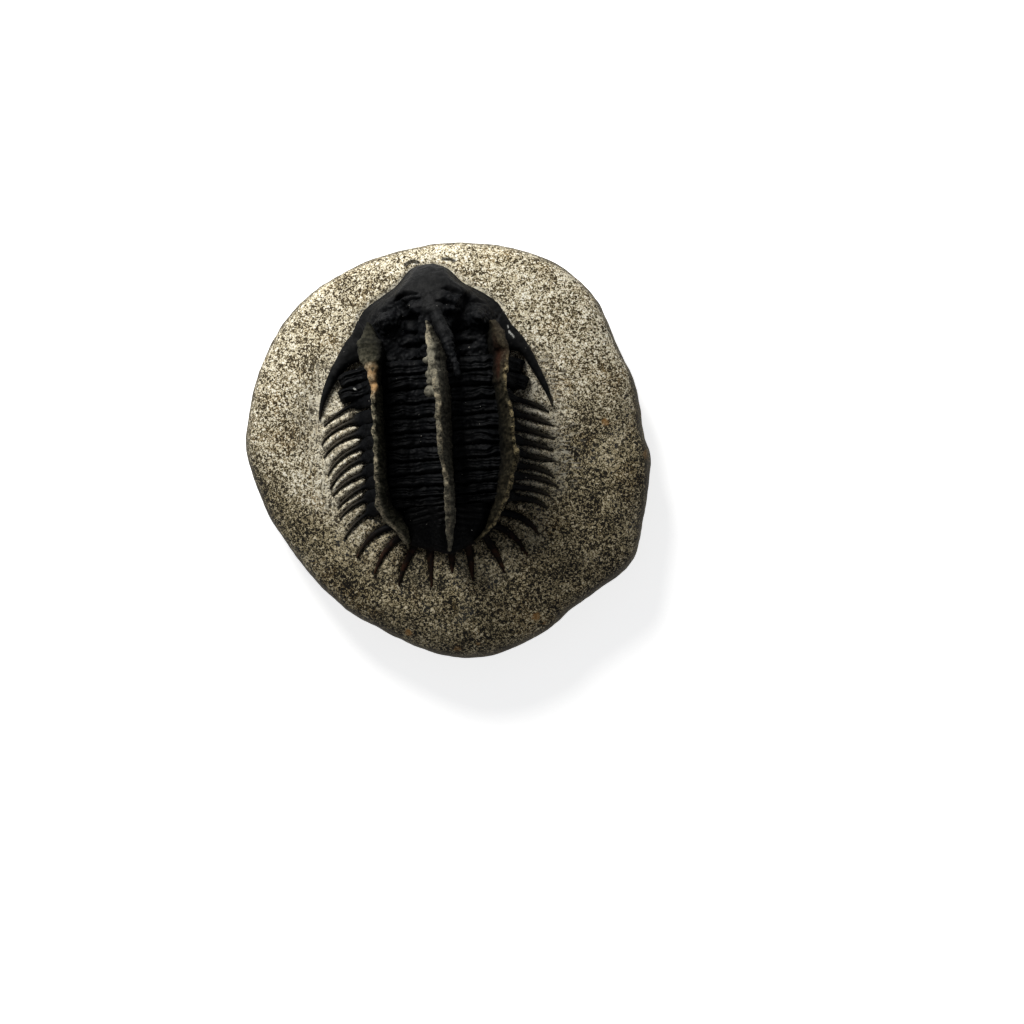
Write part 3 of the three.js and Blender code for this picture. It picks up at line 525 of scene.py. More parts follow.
def paint(piece, name, values):
    """Keeps a number from 0 to 1 for each point, for the finish to read."""
    layer = piece.data.attributes.new(name, "FLOAT", "POINT")
    layer.data.foreach_set("value", np.clip(values, 0, 1).astype(np.float32))


def fuse(piece, voxel, smoothing=2):
    """Joins the overlapping grids of a piece into one closed skin."""
    remesh = piece.modifiers.new("fuse", "REMESH")
    remesh.mode = "VOXEL"
    remesh.voxel_size = voxel * MM
    soften = piece.modifiers.new("soften", "SMOOTH")
    soften.iterations = smoothing
    fused = bpy.data.meshes.new_from_object(piece.evaluated_get(bpy.context.evaluated_depsgraph_get()))
    piece.modifiers.clear()
    piece.data = fused


def dress(piece, node, finish):
    """Lets a piece stand for its solid, with its finish on."""
    piece.data.materials.clear()
    piece.data.materials.append(finish)
    for face in piece.data.polygons:
        face.use_smooth = True
    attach(piece, "root")
    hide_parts(node)


# Forms of the animal

def back_height(l, a):
    return SLAB_FACE + (profile(BACK_PROFILE, np.abs(l)) - SLAB_FACE) * profile(BACK_FADE, a)


def section_rings(places, half, rows):
    """Rings across a line of places. Rows hold shares of the half width, and heights for each place."""
    along = np.gradient(places, axis=0)
    along /= np.linalg.norm(along, axis=1)[:, None]
    across = np.stack([-along[:, 1], along[:, 0]], axis=1)
    rings = []
    for share, height in rows:
        flat = places + across * (half * share)[:, None]
        rings.append(np.column_stack([flat, height * np.ones(len(places))]))
    return np.stack(rings, axis=1)


def spine_width(side, share):
    """Width of a side spine at a share of its length. The ones on the left are thinner."""
    return profile(SPINE_WIDTHS[side > 0], share)


def segment_line(number):
    """The middle line of a segment from its left tip to its right one, with its half width at each point."""
    front, back = SEGMENT_EDGES[number - 1:number + 1]
    centre = (front + back) / 2
    half = (back - front) / 2 + 0.05
    blunt = number <= BLUNT_SEGMENTS
    sides = []
    for side, spine in ((-1, LEFT_PLEURAE[number - 1]), (1, RIGHT_PLEURAE[number - 1])):
        lobe = (side * (FULCRUM + 2), lerp(centre, spine[0][1], 0.3), half * 0.99)
        points = [(side * FULCRUM, centre, half), lobe]
        for share, (l, a) in zip(np.linspace(0, 1, 9), bow_points(spine, 9)):
            points.append((l, a, half * (1 - 0.1 * share ** 4) if blunt else spine_width(side, share) / 2))
        sides.append(points)
    middle = [(l, centre, half) for l in (-9.3, -5.4, -3, 0, 3, 5.4, 9.3)]
    line = flowing_line(sides[0][::-1] + middle + sides[1], 260)
    return line[:, :2], line[:, 2]


def build_segment(number, finish):
    """A band across the back with two ribs and a furrow, running out into a spine on each side."""
    places, half = segment_line(number)
    blunt = number <= BLUNT_SEGMENTS
    reach = np.abs(places[:, 0])
    centre = np.mean(SEGMENT_EDGES[number - 1:number + 1])
    crown = back_height(reach, centre)
    if blunt:
        nearer_end = np.where(places[:, 0] < 0, places[0, 0], places[-1, 0])
        end = smoothstep(1.5, 0, np.abs(places[:, 0] - nearer_end))
        crown = np.maximum(crown, BLUNT_END) + 0.5 - 1.3 * end ** 2
    else:
        from_tip = np.minimum(*(np.linalg.norm(places - end, axis=1) for end in (places[0], places[-1])))
        crown = lerp(crown, SPINE_TIP_HEIGHT, smoothstep(5, 0, from_tip))
    on_spine = smoothstep(15.5, 18, reach) * (0 if blunt else 1)
    low = lerp(BODY_BOTTOM, np.maximum(crown - SPINE_DEPTH, BODY_BOTTOM), on_spine)
    along = np.column_stack([places[:, 0], np.zeros(len(places)), np.full(len(places), number * 40.0)])
    waver = 0.42 * noise(along, 3.2, 11) + 0.2 * noise(along, 1.1, 12)
    front_rib, back_rib, small_rib = (1 + 0.9 * noise(along, 1.7, seed, 2) for seed in (13, 14, 15))
    lumps = 0.5 * noise(along, 2, 16, 3) * (1 - on_spine)
    calm = lerp(1, 0.45, bump(reach - 6.2, 2.2))
    rows = [(-1.0, low), (-1.0, lerp(low, crown, 0.5))]
    for share in np.linspace(-1, 1, 29):
        moved = share + waver * (1 - share ** 2)
        ribs = front_rib * bump(moved - 0.55, 0.24) + 0.95 * back_rib * bump(moved + 0.45, 0.26)
        ribs = calm * (0.6 * ribs + 0.3 * small_rib * bump(moved - 0.05, 0.12))
        shoulder = 0.75 * abs(share) ** 8 + 0.12 * share ** 2
        spine = (0.62 * np.abs(share) ** 2.2) * np.clip(half, 0.25, 1)
        body = crown - 0.5 + ribs - shoulder + lumps
        rows.append((share, lerp(body, crown - spine, on_spine)))
    rows += [(1.0, lerp(low, crown, 0.5)), (1.0, low)]
    rings = section_rings(places, half, rows)
    shape = rings.shape
    flat = slab_from_animal(rings.reshape(-1, 3))
    name = f"segment_{number:02d}"
    piece = solid_mesh(name, [flat.reshape(shape)])
    roughen_shell(piece, seed=20 + number)
    border = smoothstep(22.4, 23.6, np.abs(animal_from_slab(read_points(piece))[:, 0])) if blunt else 0.0
    paint_shell(piece, border)
    dress(piece, f"thoracic_segment_{number:02d}", finish)


def roughen_shell(piece, seed, grain=0.2):
    """Gives shell its granules, pits and small damage."""
    points = read_points(piece)
    away = granules(points, 0.85, seed)
    lift = grain * (bump(away, 0.4) - 0.35) * smoothstep(-0.5, 0.3, noise(points, 4, seed + 5))
    lift += 0.16 * noise(points, 1.1, seed + 9, 2)
    lift *= 0.25 + 0.75 * smoothstep(21, 23.5, points[:, 2])
    write_points(piece, points + read_normals(piece) * lift[:, None])


def paint_shell(piece, smooth=0.0):
    """Marks where the shell is smooth and grey, how far out along the tail spines it turns brown, and painted
    shade on its top between the ends of the walls.
    """
    points = read_points(piece)
    l, a = animal_from_slab(points).T
    paint(piece, "smooth", smooth * np.ones(len(points)))
    paint(piece, "brown", smoothstep(42, 50, a + np.abs(l) * 0.25) * smoothstep(24, 22.2, points[:, 2]))
    dusty = smoothstep(19.5, 27, -l) + 0.5 * smoothstep(17, 24, l)
    dusty *= smoothstep(9, 14, a) * smoothstep(23, 22, points[:, 2])
    paint(piece, "dusty", dusty * lerp(1, 0.6, smoothstep(36, 44, a)))
    # Painted shade on the top of the shell between the ends of the walls
    paint(piece, "channel shade", smoothstep(31, 36, a) * smoothstep(21.6, 22.6, points[:, 2]))
    marks = [distance_to_line(np.column_stack([l, a]), np.array(line))[0] for line in CHALK_MARKS]
    paint(piece, "chalk", smoothstep(0.24, 0.08, np.minimum.reduce(marks)))


def shield_rings(places, left, right, height, columns):
    """Sections across a shield from edge to edge, closed below."""
    shares = np.sin(np.linspace(-np.pi / 2, np.pi / 2, columns))
    shares = lerp(shares, np.linspace(-1, 1, columns), 0.5)
    rings = []
    for a, l0, l1 in zip(places, left, right):
        l = np.where(shares < 0, -shares * l0, shares * l1)
        top = height(l, np.full(columns, a), shares)
        upper = np.column_stack([l, np.full(columns, a), top])
        lower = np.column_stack([l[::-1], np.full(columns, a), np.full(columns, BODY_BOTTOM)])
        rings.append(np.concatenate([upper, lower[[0, columns // 2, -1]]]))
    return np.stack(rings)


def head_height(l, a, share):
    """The raised middle lobe, the lower cheeks with an eye on each, and the steep rim."""
    ridge = profile(HEAD_RIDGE, a)
    lobe = profile(GLABELLA_HALF_WIDTH, a)
    out = np.abs(l)
    cheek = np.minimum(CHEEK, ridge - 1.4)
    on_cheek = smoothstep(lobe - 1.4, lobe + 1.2, out)
    crown = ridge - 1.3 * (out / lobe) ** 2 * (1 - on_cheek)
    rim = np.minimum(HEAD_RIM, ridge - 1)
    eyes = [bump(np.hypot(l - eye_l, a - eye_a), EYE_RADIUS) for eye_l, eye_a in EYES]
    level = lerp(crown, cheek, on_cheek)
    return lerp(level, rim, smoothstep(0.62, 1, np.abs(share))) + EYE_HEIGHT * np.maximum(*eyes)


def blade_rings(pairs):
    """A flat blade between an outer and an inner edge, with a soft ridge along its middle."""
    outer = flowing_line([pair[0] for pair in pairs], 60)
    inner = flowing_line([pair[1] for pair in pairs], 60)
    top = flowing_line([(i, pair[2]) for i, pair in enumerate(pairs)], 60)[:, 1]
    width = np.linalg.norm(outer - inner, axis=1)
    round_off = np.minimum(1.1, width * 0.36)
    low = top - CHEEK_SPINE_DEPTH
    rings = [np.column_stack([outer, low])]
    for share in np.linspace(0, 1, 13):
        height = top - round_off * np.abs(2 * share - 1) ** 2.2
        rings.append(np.column_stack([lerp(outer, inner, share), height]))
    rings.append(np.column_stack([inner, low]))
    return np.stack(rings, axis=1)


def rod_rings(route, widths, sides=20):
    """A tapered round rod along a route of l, a and height."""
    line = flowing_line(route, 50)
    along = np.gradient(line, axis=0)
    along /= np.linalg.norm(along, axis=1)[:, None]
    across = np.cross(along, (0, 0, 1.0))
    across /= np.linalg.norm(across, axis=1)[:, None]
    up = np.cross(across, along)
    radius = profile(widths, np.linspace(0, 1, len(line)))[:, None] / 2
    angles = np.linspace(0, 2 * np.pi, sides, endpoint=False)
    return np.stack([line + radius * (across * np.cos(t) + up * np.sin(t)) for t in angles], axis=1)


def head_outline():
    places = np.linspace(HEAD_FRONT, HEAD_BACK, 30)
    left = np.column_stack([profile(HEAD_LEFT, places), places])
    right = np.column_stack([profile(HEAD_RIGHT, places), places])
    return np.concatenate([right, left[::-1]])


def build_head(finish):
    """The head shield with its cheek spines and the spine of the neck ring, grown as one."""
    places = np.linspace(HEAD_FRONT, HEAD_BACK, 110)
    shield = shield_rings(places, profile(HEAD_LEFT, places), profile(HEAD_RIGHT, places), head_height, 130)
    blades = [blade_rings(pairs) for pairs in CHEEK_SPINES]
    parts = [shield, *blades, rod_rings(NECK_SPINE, NECK_SPINE_WIDTH)]
    parts = [slab_from_animal(rings.reshape(-1, 3)).reshape(rings.shape) for rings in parts]
    piece = solid_mesh("head_shield", parts)
    fuse(piece, VOXEL)
    points = read_points(piece)
    animal = animal_from_slab(points)
    l, a = animal.T
    away, along = distance_to_line(animal, flowing_line([point[:2] for point in NECK_SPINE], 12))
    on_spine = smoothstep(2.4, 1.3, away) * smoothstep(-12, -10.5, a)
    edge = inside_outline(animal, head_outline())
    strip = smoothstep(3, 1.8, np.abs(l + 0.3)) * smoothstep(-9, -12, a)
    border = smoothstep(3.6, 2.2, edge) * (1 - smoothstep(-8, -5.5, a) * smoothstep(17, 15, np.abs(l)))
    spine = 0.45 * on_spine * smoothstep(0.6, 0.2, along)
    smooth = np.maximum.reduce([smoothstep(-15.2, -16.6, a), border, strip, spine])
    lift = np.zeros(len(points))
    for line, width, depth in HEAD_SLITS:
        away, along = distance_to_line(animal, flowing_line(line, 8))
        lens = np.sqrt(np.sin(np.pi * np.clip(along, 0.06, 0.94)))
        lift -= depth * lens * bump(away, width * lens) * (1 - on_spine)
    for eye_l, eye_a in EYES:
        near = bump(np.hypot(l - eye_l, a - eye_a), 4)
        facets = 0.55 * (bump(granules(points, 1.3, 71), 0.45) - 0.3)
        lift += near * (facets + 0.4 * noise(points, 1.8, 72, 2))
    lobe = profile(GLABELLA_HALF_WIDTH, a)
    lift -= 0.9 * bump(np.abs(np.abs(l) - lobe), 1) * smoothstep(-16, -13, a) * (1 - on_spine)
    grains = 0.34 * (bump(granules(points, 1, 74), 0.42) - 0.3)
    lift += (1 - smooth) * (0.7 * noise(points, 2.8, 73, 3) + grains)
    lift *= smoothstep(19, 21.5, points[:, 2])
    write_points(piece, points + read_normals(piece) * lift[:, None])
    roughen_shell(piece, seed=60, grain=0.05)
    paint_shell(piece, smooth)
    dress(piece, "cephalon", finish)


def spine_rings(spine, root_top, tip_top):
    """A tapered spine that lies in the rock."""
    places = bow_points(spine, 40)
    share = np.linspace(0, 1, 40)
    half = lerp(*TAIL_SPINE_WIDTH, share ** 2) / 2
    top = lerp(root_top, tip_top, np.sqrt(share))
    rows = [(-1.0, top - SPINE_DEPTH)]
    for across in np.linspace(-1, 1, 9):
        rows.append((across, top - half * 0.7 * across ** 2))
    rows.append((1.0, top - SPINE_DEPTH))
    return section_rings(places, half, rows)


def tail_height(l, a, share):
    """A ringed ridge down the middle, ribbed fields beside it and a steep rim."""
    ridge = profile(PYGIDIUM_RIDGE, a)
    lobe = smoothstep(2.2, 5, np.abs(l))
    field = ridge - lobe * np.minimum(1.4, ridge - PYGIDIUM_RIM)
    rim = np.minimum(PYGIDIUM_RIM, ridge - 0.4)
    inner = smoothstep(1, 0.7, np.abs(share))
    ribs = 0.24 * np.sin(2 * np.pi * (a - 0.2 * np.abs(l)) / 1.5) * inner * smoothstep(43, 37, a)
    chevrons = 0.16 * np.sin(2 * np.pi * (a + 0.5 * np.abs(l)) / 0.85) * bump(l + 3, 1.6) * inner
    return lerp(field, rim, smoothstep(0.6, 1, np.abs(share))) + ribs + chevrons


def build_tail(finish):
    """The tail shield with the spines of its rim."""
    places = np.linspace(PYGIDIUM_START, PYGIDIUM_END, 90)
    left, right = profile(PYGIDIUM_LEFT, places), profile(PYGIDIUM_RIGHT, places)
    shield = shield_rings(places, left, right, tail_height, 110)
    parts = [shield] + [spine_rings(spine, PYGIDIUM_RIM - 0.1, SPINE_TIP_HEIGHT) for spine in TAIL_SPINES]
    parts = [slab_from_animal(rings.reshape(-1, 3)).reshape(rings.shape) for rings in parts]
    piece = solid_mesh("tail_shield", parts)
    fuse(piece, 0.2, smoothing=1)
    roughen_shell(piece, seed=80)
    paint_shell(piece)
    dress(piece, "pygidium", finish)


# Rock

def wall_rings(wall, seed):
    """A standing wall with an uneven rounded crest and faces that lean as the prepared ones do."""
    count = int((wall["to"] - wall["from"]) / WALL_STEP)
    a = np.linspace(wall["from"], wall["to"], count)
    keys = ("foot", "crest", "top", "bottom", "thick", "top share")
    foot, crest, top, bottom, thick, narrow = (profile(wall[key], a) for key in keys)
    line = np.column_stack([a, np.full(count, seed * 10.0), np.zeros(count)])
    ends = smoothstep(0, 2.5, a - a[0]) * smoothstep(0, 2.5, a[-1] - a)
    jag = ends * (0.7 * noise(line, 3.1, seed) + 0.45 * noise(line, 1, seed + 1))
    peak = np.maximum(top + jag - 0.3, bottom + 1)
    crest = crest + ends * (0.4 * noise(line, 2.4, seed + 2) + 0.2 * noise(line, 1.1, seed + 7))
    narrow = narrow * (1 + 0.35 * ends * noise(line, 2.2, seed + 8, 2))
    heights = np.linspace(0, 1, 18)
    lean = [lerp(foot, crest, height ** 1.15) for height in heights]
    halves = [thick / 2 * lerp(1, narrow, height ** 0.8) for height in heights]
    levels = [lerp(bottom, peak, height) for height in heights]
    dome = halves[-1] * 0.8
    rows = [(middle - half, z) for middle, half, z in zip(lean, halves, levels)]
    for turn in np.linspace(0, np.pi, 9)[1:-1]:
        rows.append((lean[-1] - halves[-1] * math.cos(turn), peak + dome * math.sin(turn) * 0.7))
    rows += [(middle + half, z) for middle, half, z in zip(lean, halves, levels)][::-1]
    return np.stack([np.column_stack([l, a, z]) for l, z in rows], axis=1)


def ball_rings(centre, radius):
    """A round lump of rock."""
    tilt = np.linspace(0.15, np.pi - 0.15, 12)
    turn = np.linspace(0, 2 * np.pi, 18, endpoint=False)
    rings = [
        [(math.sin(t) * math.cos(u), math.sin(t) * math.sin(u), math.cos(t)) for u in turn] for t in tilt
    ]
    return np.array(rings) * radius + np.array(centre)


def build_wall(name, wall, seed, finish, warm_spots, stain_spots):
    """A wall of rock, streaked up its faces and paler along its crest, with painted shade on its inner face.
    """
    parts = [wall_rings(wall, seed)] + [ball_rings(lump[:3], lump[3]) for lump in wall["lumps"]]
    parts = [slab_from_animal(rings.reshape(-1, 3)).reshape(rings.shape) for rings in parts]
    piece = solid_mesh(name, parts)
    fuse(piece, 0.22, smoothing=1)
    points = read_points(piece)
    streaks = noise(points * (1, 1, 0.16), 0.9, seed + 3, 2)
    lift = 0.2 * streaks + 0.2 * noise(points, 1.7, seed + 4, 2)
    points = points + read_normals(piece) * lift[:, None]
    points[:, 2] = np.minimum(points[:, 2], HIGHEST)
    write_points(piece, points)
    animal = animal_from_slab(points)
    top = profile(wall["top"], animal[:, 1])
    beyond = wall["rim side"] * (animal[:, 0] - profile(wall["crest"], animal[:, 1])) + 0.3
    crest = smoothstep(1.6, 0.3, top - points[:, 2] + 1.1 * noise(points, 2.6, seed + 6))
    crest *= smoothstep(-0.2, 0.5, beyond) * smoothstep(*wall["crest starts"], animal[:, 1])
    paint(piece, "crest", crest)
    # Painted shade: the inner face darkens towards black
    inner = -wall["rim side"] * (animal[:, 0] - profile(wall["crest"], animal[:, 1]))
    depth = profile(wall["fade"], animal[:, 1])
    ragged = inner + 0.5 * noise(points * (1, 1, 0.2), 1.2, seed + 9, 2)
    paint(piece, "shade", smoothstep(depth * 0.3, depth, ragged))
    for layer, spots in (("warm", warm_spots), ("stain", stain_spots)):
        stain = np.zeros(len(points))
        for l, a, z, reach in spots:
            away = np.linalg.norm(np.column_stack([animal, points[:, 2]]) - (l, a, z), axis=1)
            stain = np.maximum(stain, bump(away, reach))
        paint(piece, layer, stain)
    dress(piece, f"spine_wall_{name.split('_')[-1]}", finish)


def slab_radius(angles):
    """Distance from the middle of the slab to its outline, in each direction."""
    line = outline_points()
    turn = np.arctan2(line[:, 1], line[:, 0])
    order = np.argsort(turn)
    return np.interp(angles, turn[order], np.linalg.norm(line[order], axis=1), period=2 * np.pi)


def body_outline():
    """Outline of the animal's body without its spines, in l and a."""
    head_a = np.linspace(HEAD_FRONT, HEAD_BACK, 30)
    tail_a = np.linspace(35.5, PYGIDIUM_END, 20)
    right = list(zip(profile(HEAD_RIGHT, head_a), head_a)) + THORAX_EDGE_RIGHT
    right += list(zip(profile(PYGIDIUM_RIGHT, tail_a), tail_a))
    left = list(zip(profile(HEAD_LEFT, head_a), head_a)) + THORAX_EDGE_LEFT
    left += list(zip(profile(PYGIDIUM_LEFT, tail_a), tail_a))
    return np.array(right + left[::-1])


def halo_outline():
    """Outline that runs round the tips of all the spines, in l and a."""
    tips = [(-2, -23.1), (-9, -18.4), (-16, -14.2), (-20, -7.6), (-24, -2.8), (-28, 4.1), (-29.8, 12)]
    tips += [spine[-1] for spine in LEFT_PLEURAE[3:]] + [spine[-1] for spine in TAIL_SPINES]
    tips += [spine[-1] for spine in RIGHT_PLEURAE[:1:-1]]
    tips += [(26.8, 12.8), (25.2, 6), (22, -2), (18, -7.2), (15, -12.9), (8, -18.2), (2.2, -23.1)]
    return np.array(tips, float)


def slab_height(x, y):
    """Height of the rock's face before its relief, and the inset from the outline."""
    share = np.hypot(x, y) / slab_radius(np.arctan2(y, x))
    inset = (1 - share) * SLAB_RADIUS
    return profile(SLAB_TOP, inset), inset


def spine_gap(animal):
    """Distance from each place to the edge of the nearest spine that lies in the rock."""
    near = np.full(len(animal), 9.0)
    for number in range(BLUNT_SEGMENTS, len(LEFT_PLEURAE)):
        for side, spine in ((-1, LEFT_PLEURAE[number]), (1, RIGHT_PLEURAE[number])):
            away, share = distance_to_line(animal, bow_points(spine, 9))
            near = np.minimum(near, away - spine_width(side, share) / 2)
    for spine in TAIL_SPINES:
        away, share = distance_to_line(animal, bow_points(spine, 9))
        near = np.minimum(near, away - lerp(*TAIL_SPINE_WIDTH, share ** 2) / 2)
    return near


def dress_rock(points):
    """Relief of the rock's face round the fossil, with how much powder and scratching it carries, and painted
    light laid as powder beside the right wall.
    """
    animal = animal_from_slab(points)
    l, a = animal.T
    flat = points * (1, 1, 0)
    gap = spine_gap(animal)
    body = inside_outline(animal, body_outline())
    halo = inside_outline(animal, halo_outline())
    beside = smoothstep(9, 13, a)
    fringe = smoothstep(-2, 2.5, halo) * beside * smoothstep(0.1, -0.4, body)
    finger = np.sqrt(smoothstep(-0.05, 1.1, np.minimum(gap, -body)))
    relief = fringe * lerp(-0.5, 0.62, finger) * lerp(1, 0.6, smoothstep(34, 42, a))
    relief -= 0.5 * bump(halo + 1.5, 2.4) * smoothstep(-8, 6, a) * lerp(1, 0.3, smoothstep(34, 46, a))
    relief += 0.35 * bump(halo + 6, 3) * smoothstep(-8, 6, a)
    relief -= 0.6 * smoothstep(-1.6, -0.1, body) * (1 - beside)
    relief -= 3.2 * smoothstep(0.2, 1.2, body)
    away = smoothstep(-2, 4, -halo)
    relief += 0.5 * noise(flat, 17, 101, 2) * smoothstep(0, 6, -body)
    relief += 0.13 * noise(flat, 4.5, 102, 2) * away + 0.05 * noise(flat, 1, 103, 2)
    beyond = bump(halo + 2.2, 3.2) * smoothstep(-6, 6, a)
    along_tips = beyond * smoothstep(0, -12, l) * smoothstep(38, 30, a)
    off_tips = beyond * smoothstep(0, 12, l) * smoothstep(36, 26, a)
    powder = bump(np.minimum(halo + 0.4, 0), 2) * lerp(0.25, 1, smoothstep(-12, 8, a))
    powder *= lerp(1, 0.12, smoothstep(26, 38, a)) * lerp(1, 0.8, smoothstep(-5, 5, l))
    sliver, _ = distance_to_line(animal, np.array(CHALKY_SLIVER))
    scratch, _ = distance_to_line(animal, np.array(CHALKY_SCRATCH))
    before_head = 0.8 * bump(body + 0.5, 0.5) * smoothstep(-8, -13, a)
    chalky = 1.3 * bump(sliver, 0.8) + 1.5 * bump(scratch, 0.3) + before_head
    # Painted light: powder laid on the right-hand fingers beside the wall, where its shadow falls, to lighten
    # them
    wall_shadow_light = smoothstep(15, 17, l) * smoothstep(24, 21, l) * smoothstep(8, 12, a) * smoothstep(36, 31, a)
    powder = np.maximum(0.56 * powder, chalky)
    powder = np.maximum(powder, 1.5 * wall_shadow_light)
    powder = powder * smoothstep(0, 0.5, gap) * smoothstep(0.1, -0.3, body)
    return relief, powder, along_tips, off_tips, gap


def slab_rings():
    """Rings of the slab from the middle of its base to the fossil's pocket, and the face's first row."""
    centre = slab_from_animal(np.array([[0, 14.0, 0]]))[0, :2]
    around = flowing_line(halo_outline(), SLAB_COLUMNS, closed=True)
    halo = slab_from_animal(np.column_stack([around, np.zeros(SLAB_COLUMNS)]))
    turn = np.sort(np.unwrap(np.arctan2(*(halo[:, :2] - centre).T[::-1])) % (2 * np.pi))
    turn = lerp(turn, np.linspace(0, 2 * np.pi, SLAB_COLUMNS, endpoint=False), 0.4)
    ways = np.column_stack([np.cos(turn), np.sin(turn)])
    far = ray_reach(centre, ways, outline_points())
    fringe = ray_reach(centre, ways, ring_of(halo_outline())) + 2.5
    near = ray_reach(centre, ways, ring_of(body_outline())) - 1.6
    fringe = np.minimum(np.maximum(fringe, near + 4), far - 8)
    rim = centre + ways * far[:, None]
    edge = flowing_line(SLAB_EDGE, SLAB_EDGE_ROWS)
    rings = []
    for inset, z in [(44, 0), (28, 0), (15, 0), *map(tuple, edge)]:
        rings.append(np.column_stack([rim * (1 - inset / SLAB_RADIUS), np.full(len(turn), z)]))
    face = len(rings)
    shoulder = rim * (1 - SLAB_EDGE[-1][0] / SLAB_RADIUS)
    tips = centre + ways * fringe[:, None]
    inner = centre + ways * near[:, None]
    for share in np.linspace(0, 1, SLAB_OPEN_ROWS, endpoint=False)[1:]:
        rings.append(np.column_stack([lerp(shoulder, tips, share), np.zeros(len(turn))]))
    for share in np.linspace(0, 1, SLAB_FRINGE_ROWS):
        rings.append(np.column_stack([lerp(tips, inner, share), np.zeros(len(turn))]))
    for share in (0.35, 0.7, 0.9):
        rings.append(np.column_stack([lerp(inner, centre, share), np.zeros(len(turn))]))
    return np.stack(rings), face


def outline_points():
    line = flowing_line(SLAB_OUTLINE, 1200, closed=True)
    low, high = line.min(0), line.max(0)
    half = (SLAB_HIGH - SLAB_LOW)[:2] / 2 - 0.05
    return (line - (low + high) / 2) * half / ((high - low) / 2)


def ring_of(outline):
    """A closed outline in l and a, as the slab's x and y."""
    line = flowing_line(outline, 600, closed=True)
    return slab_from_animal(np.column_stack([line, np.zeros(len(line))]))[:, :2]


def ray_reach(centre, ways, ring):
    """How far a closed outline lies from a centre in each direction."""
    away = ring - centre
    order = np.argsort(np.arctan2(away[:, 1], away[:, 0]))
    turn = np.arctan2(away[order, 1], away[order, 0])
    reach = np.linalg.norm(away[order], axis=1)
    return np.interp(np.arctan2(ways[:, 1], ways[:, 0]), turn, reach, period=2 * np.pi)


def build_slab(finish):
    """The slab as one closed skin: flat base, rounded edge, domed face and the pocket of the fossil."""
    rings, face = slab_rings()
    shape = rings.shape
    points = rings.reshape(-1, 3)
    on_face = np.repeat(np.arange(shape[0]) >= face, SLAB_COLUMNS)
    top, inset = slab_height(points[:, 0], points[:, 1])
    relief, powder, along_tips, off_tips, gap = dress_rock(points)
    points[:, 2] = np.where(on_face, top + relief * smoothstep(1.5, 7, inset), points[:, 2])
    side = smoothstep(0.5, 4, points[:, 2]) * np.where(on_face, smoothstep(9, 2, inset), 1)
    rough = 0.3 * noise(points, 9, 111, 2) + 0.2 * noise(points, 2.4, 112, 2) - 0.3
    outward = points[:, :2] / (np.linalg.norm(points[:, :2], axis=1)[:, None] + 1e-6)
    points[:, :2] += outward * (side * np.minimum(rough, 0))[:, None]
    piece = solid_mesh("slab", [points.reshape(shape)])
    lower_right = smoothstep(-20, 45, points[:, 0] - points[:, 1])
    width = lerp(0.6, 1.3, lower_right) + 0.7 * noise(points, 3, 113, 2)
    above = points[:, 2] > 9.5
    paint(piece, "rind", np.where(above, smoothstep(width + 0.9, width - 0.4, inset), 1))
    paint(piece, "powder", powder * on_face)
    paint(piece, "along tips", along_tips * on_face)
    paint(piece, "off tips", off_tips * on_face)
    flakes = np.zeros(len(points))
    for line, width in DARK_FLAKES:
        away, _ = distance_to_line(animal_from_slab(points), np.array(line))
        flakes = np.maximum(flakes, smoothstep(width + 0.15, width - 0.1, away))
    # Dark flakes, and painted shade in the narrow gap along the edges of the spines
    paint(piece, "flakes and groove shade", np.maximum(smoothstep(0.16, -0.1, gap), flakes) * on_face)
    rust = np.zeros(len(points))
    for x, y, z, reach in RUST_SPOTS:
        rust = np.maximum(rust, bump(np.linalg.norm(points - (x, y, z), axis=1), reach))
    paint(piece, "rust", rust)
    for layer, spots in (("dim", DIM_PATCHES), ("ochre", OCHRE_PATCHES)):
        patch = np.zeros(len(points))
        for x, y, reach in spots:
            patch = np.maximum(patch, bump(np.hypot(points[:, 0] - x, points[:, 1] - y), reach))
        paint(piece, layer, patch)
    # Painted light and shade across the face, partly the stone's own tone too: lighter towards the upper
    # left, darker towards the lower right and on the lower-left flank
    low_left_shade = smoothstep(42, 54, -points[:, 0] - points[:, 1])
    paint(piece, "pale", smoothstep(-28, 16, points[:, 1] - 0.5 * points[:, 0]) - 0.75 * low_left_shade)
    dress(piece, "matrix_slab", finish)


# Finishes

class Value:
    """A socket that takes part in sums, each of which adds a Math node."""

    def __init__(self, finish, socket):
        self.finish = finish
        self.socket = socket

    def worked_out(self, operation, first, second):
        node = self.finish.node("ShaderNodeMath", {"operation": operation}, {0: first, 1: second})
        return node["Value"]

    def __add__(self, other):
        return self.worked_out("ADD", self, other)

    def __radd__(self, other):
        return self.worked_out("ADD", other, self)

    def __sub__(self, other):
        return self.worked_out("SUBTRACT", self, other)

    def __rsub__(self, other):
        return self.worked_out("SUBTRACT", other, self)

    def __mul__(self, other):
        return self.worked_out("MULTIPLY", self, other)

    def __rmul__(self, other):
        return self.worked_out("MULTIPLY", other, self)


class Node:
    """A node whose outputs are read by name as values."""

    def __init__(self, finish, made):
        self.finish = finish
        self.made = made

    def __getitem__(self, name):
        return Value(self.finish, self.made.outputs[name])


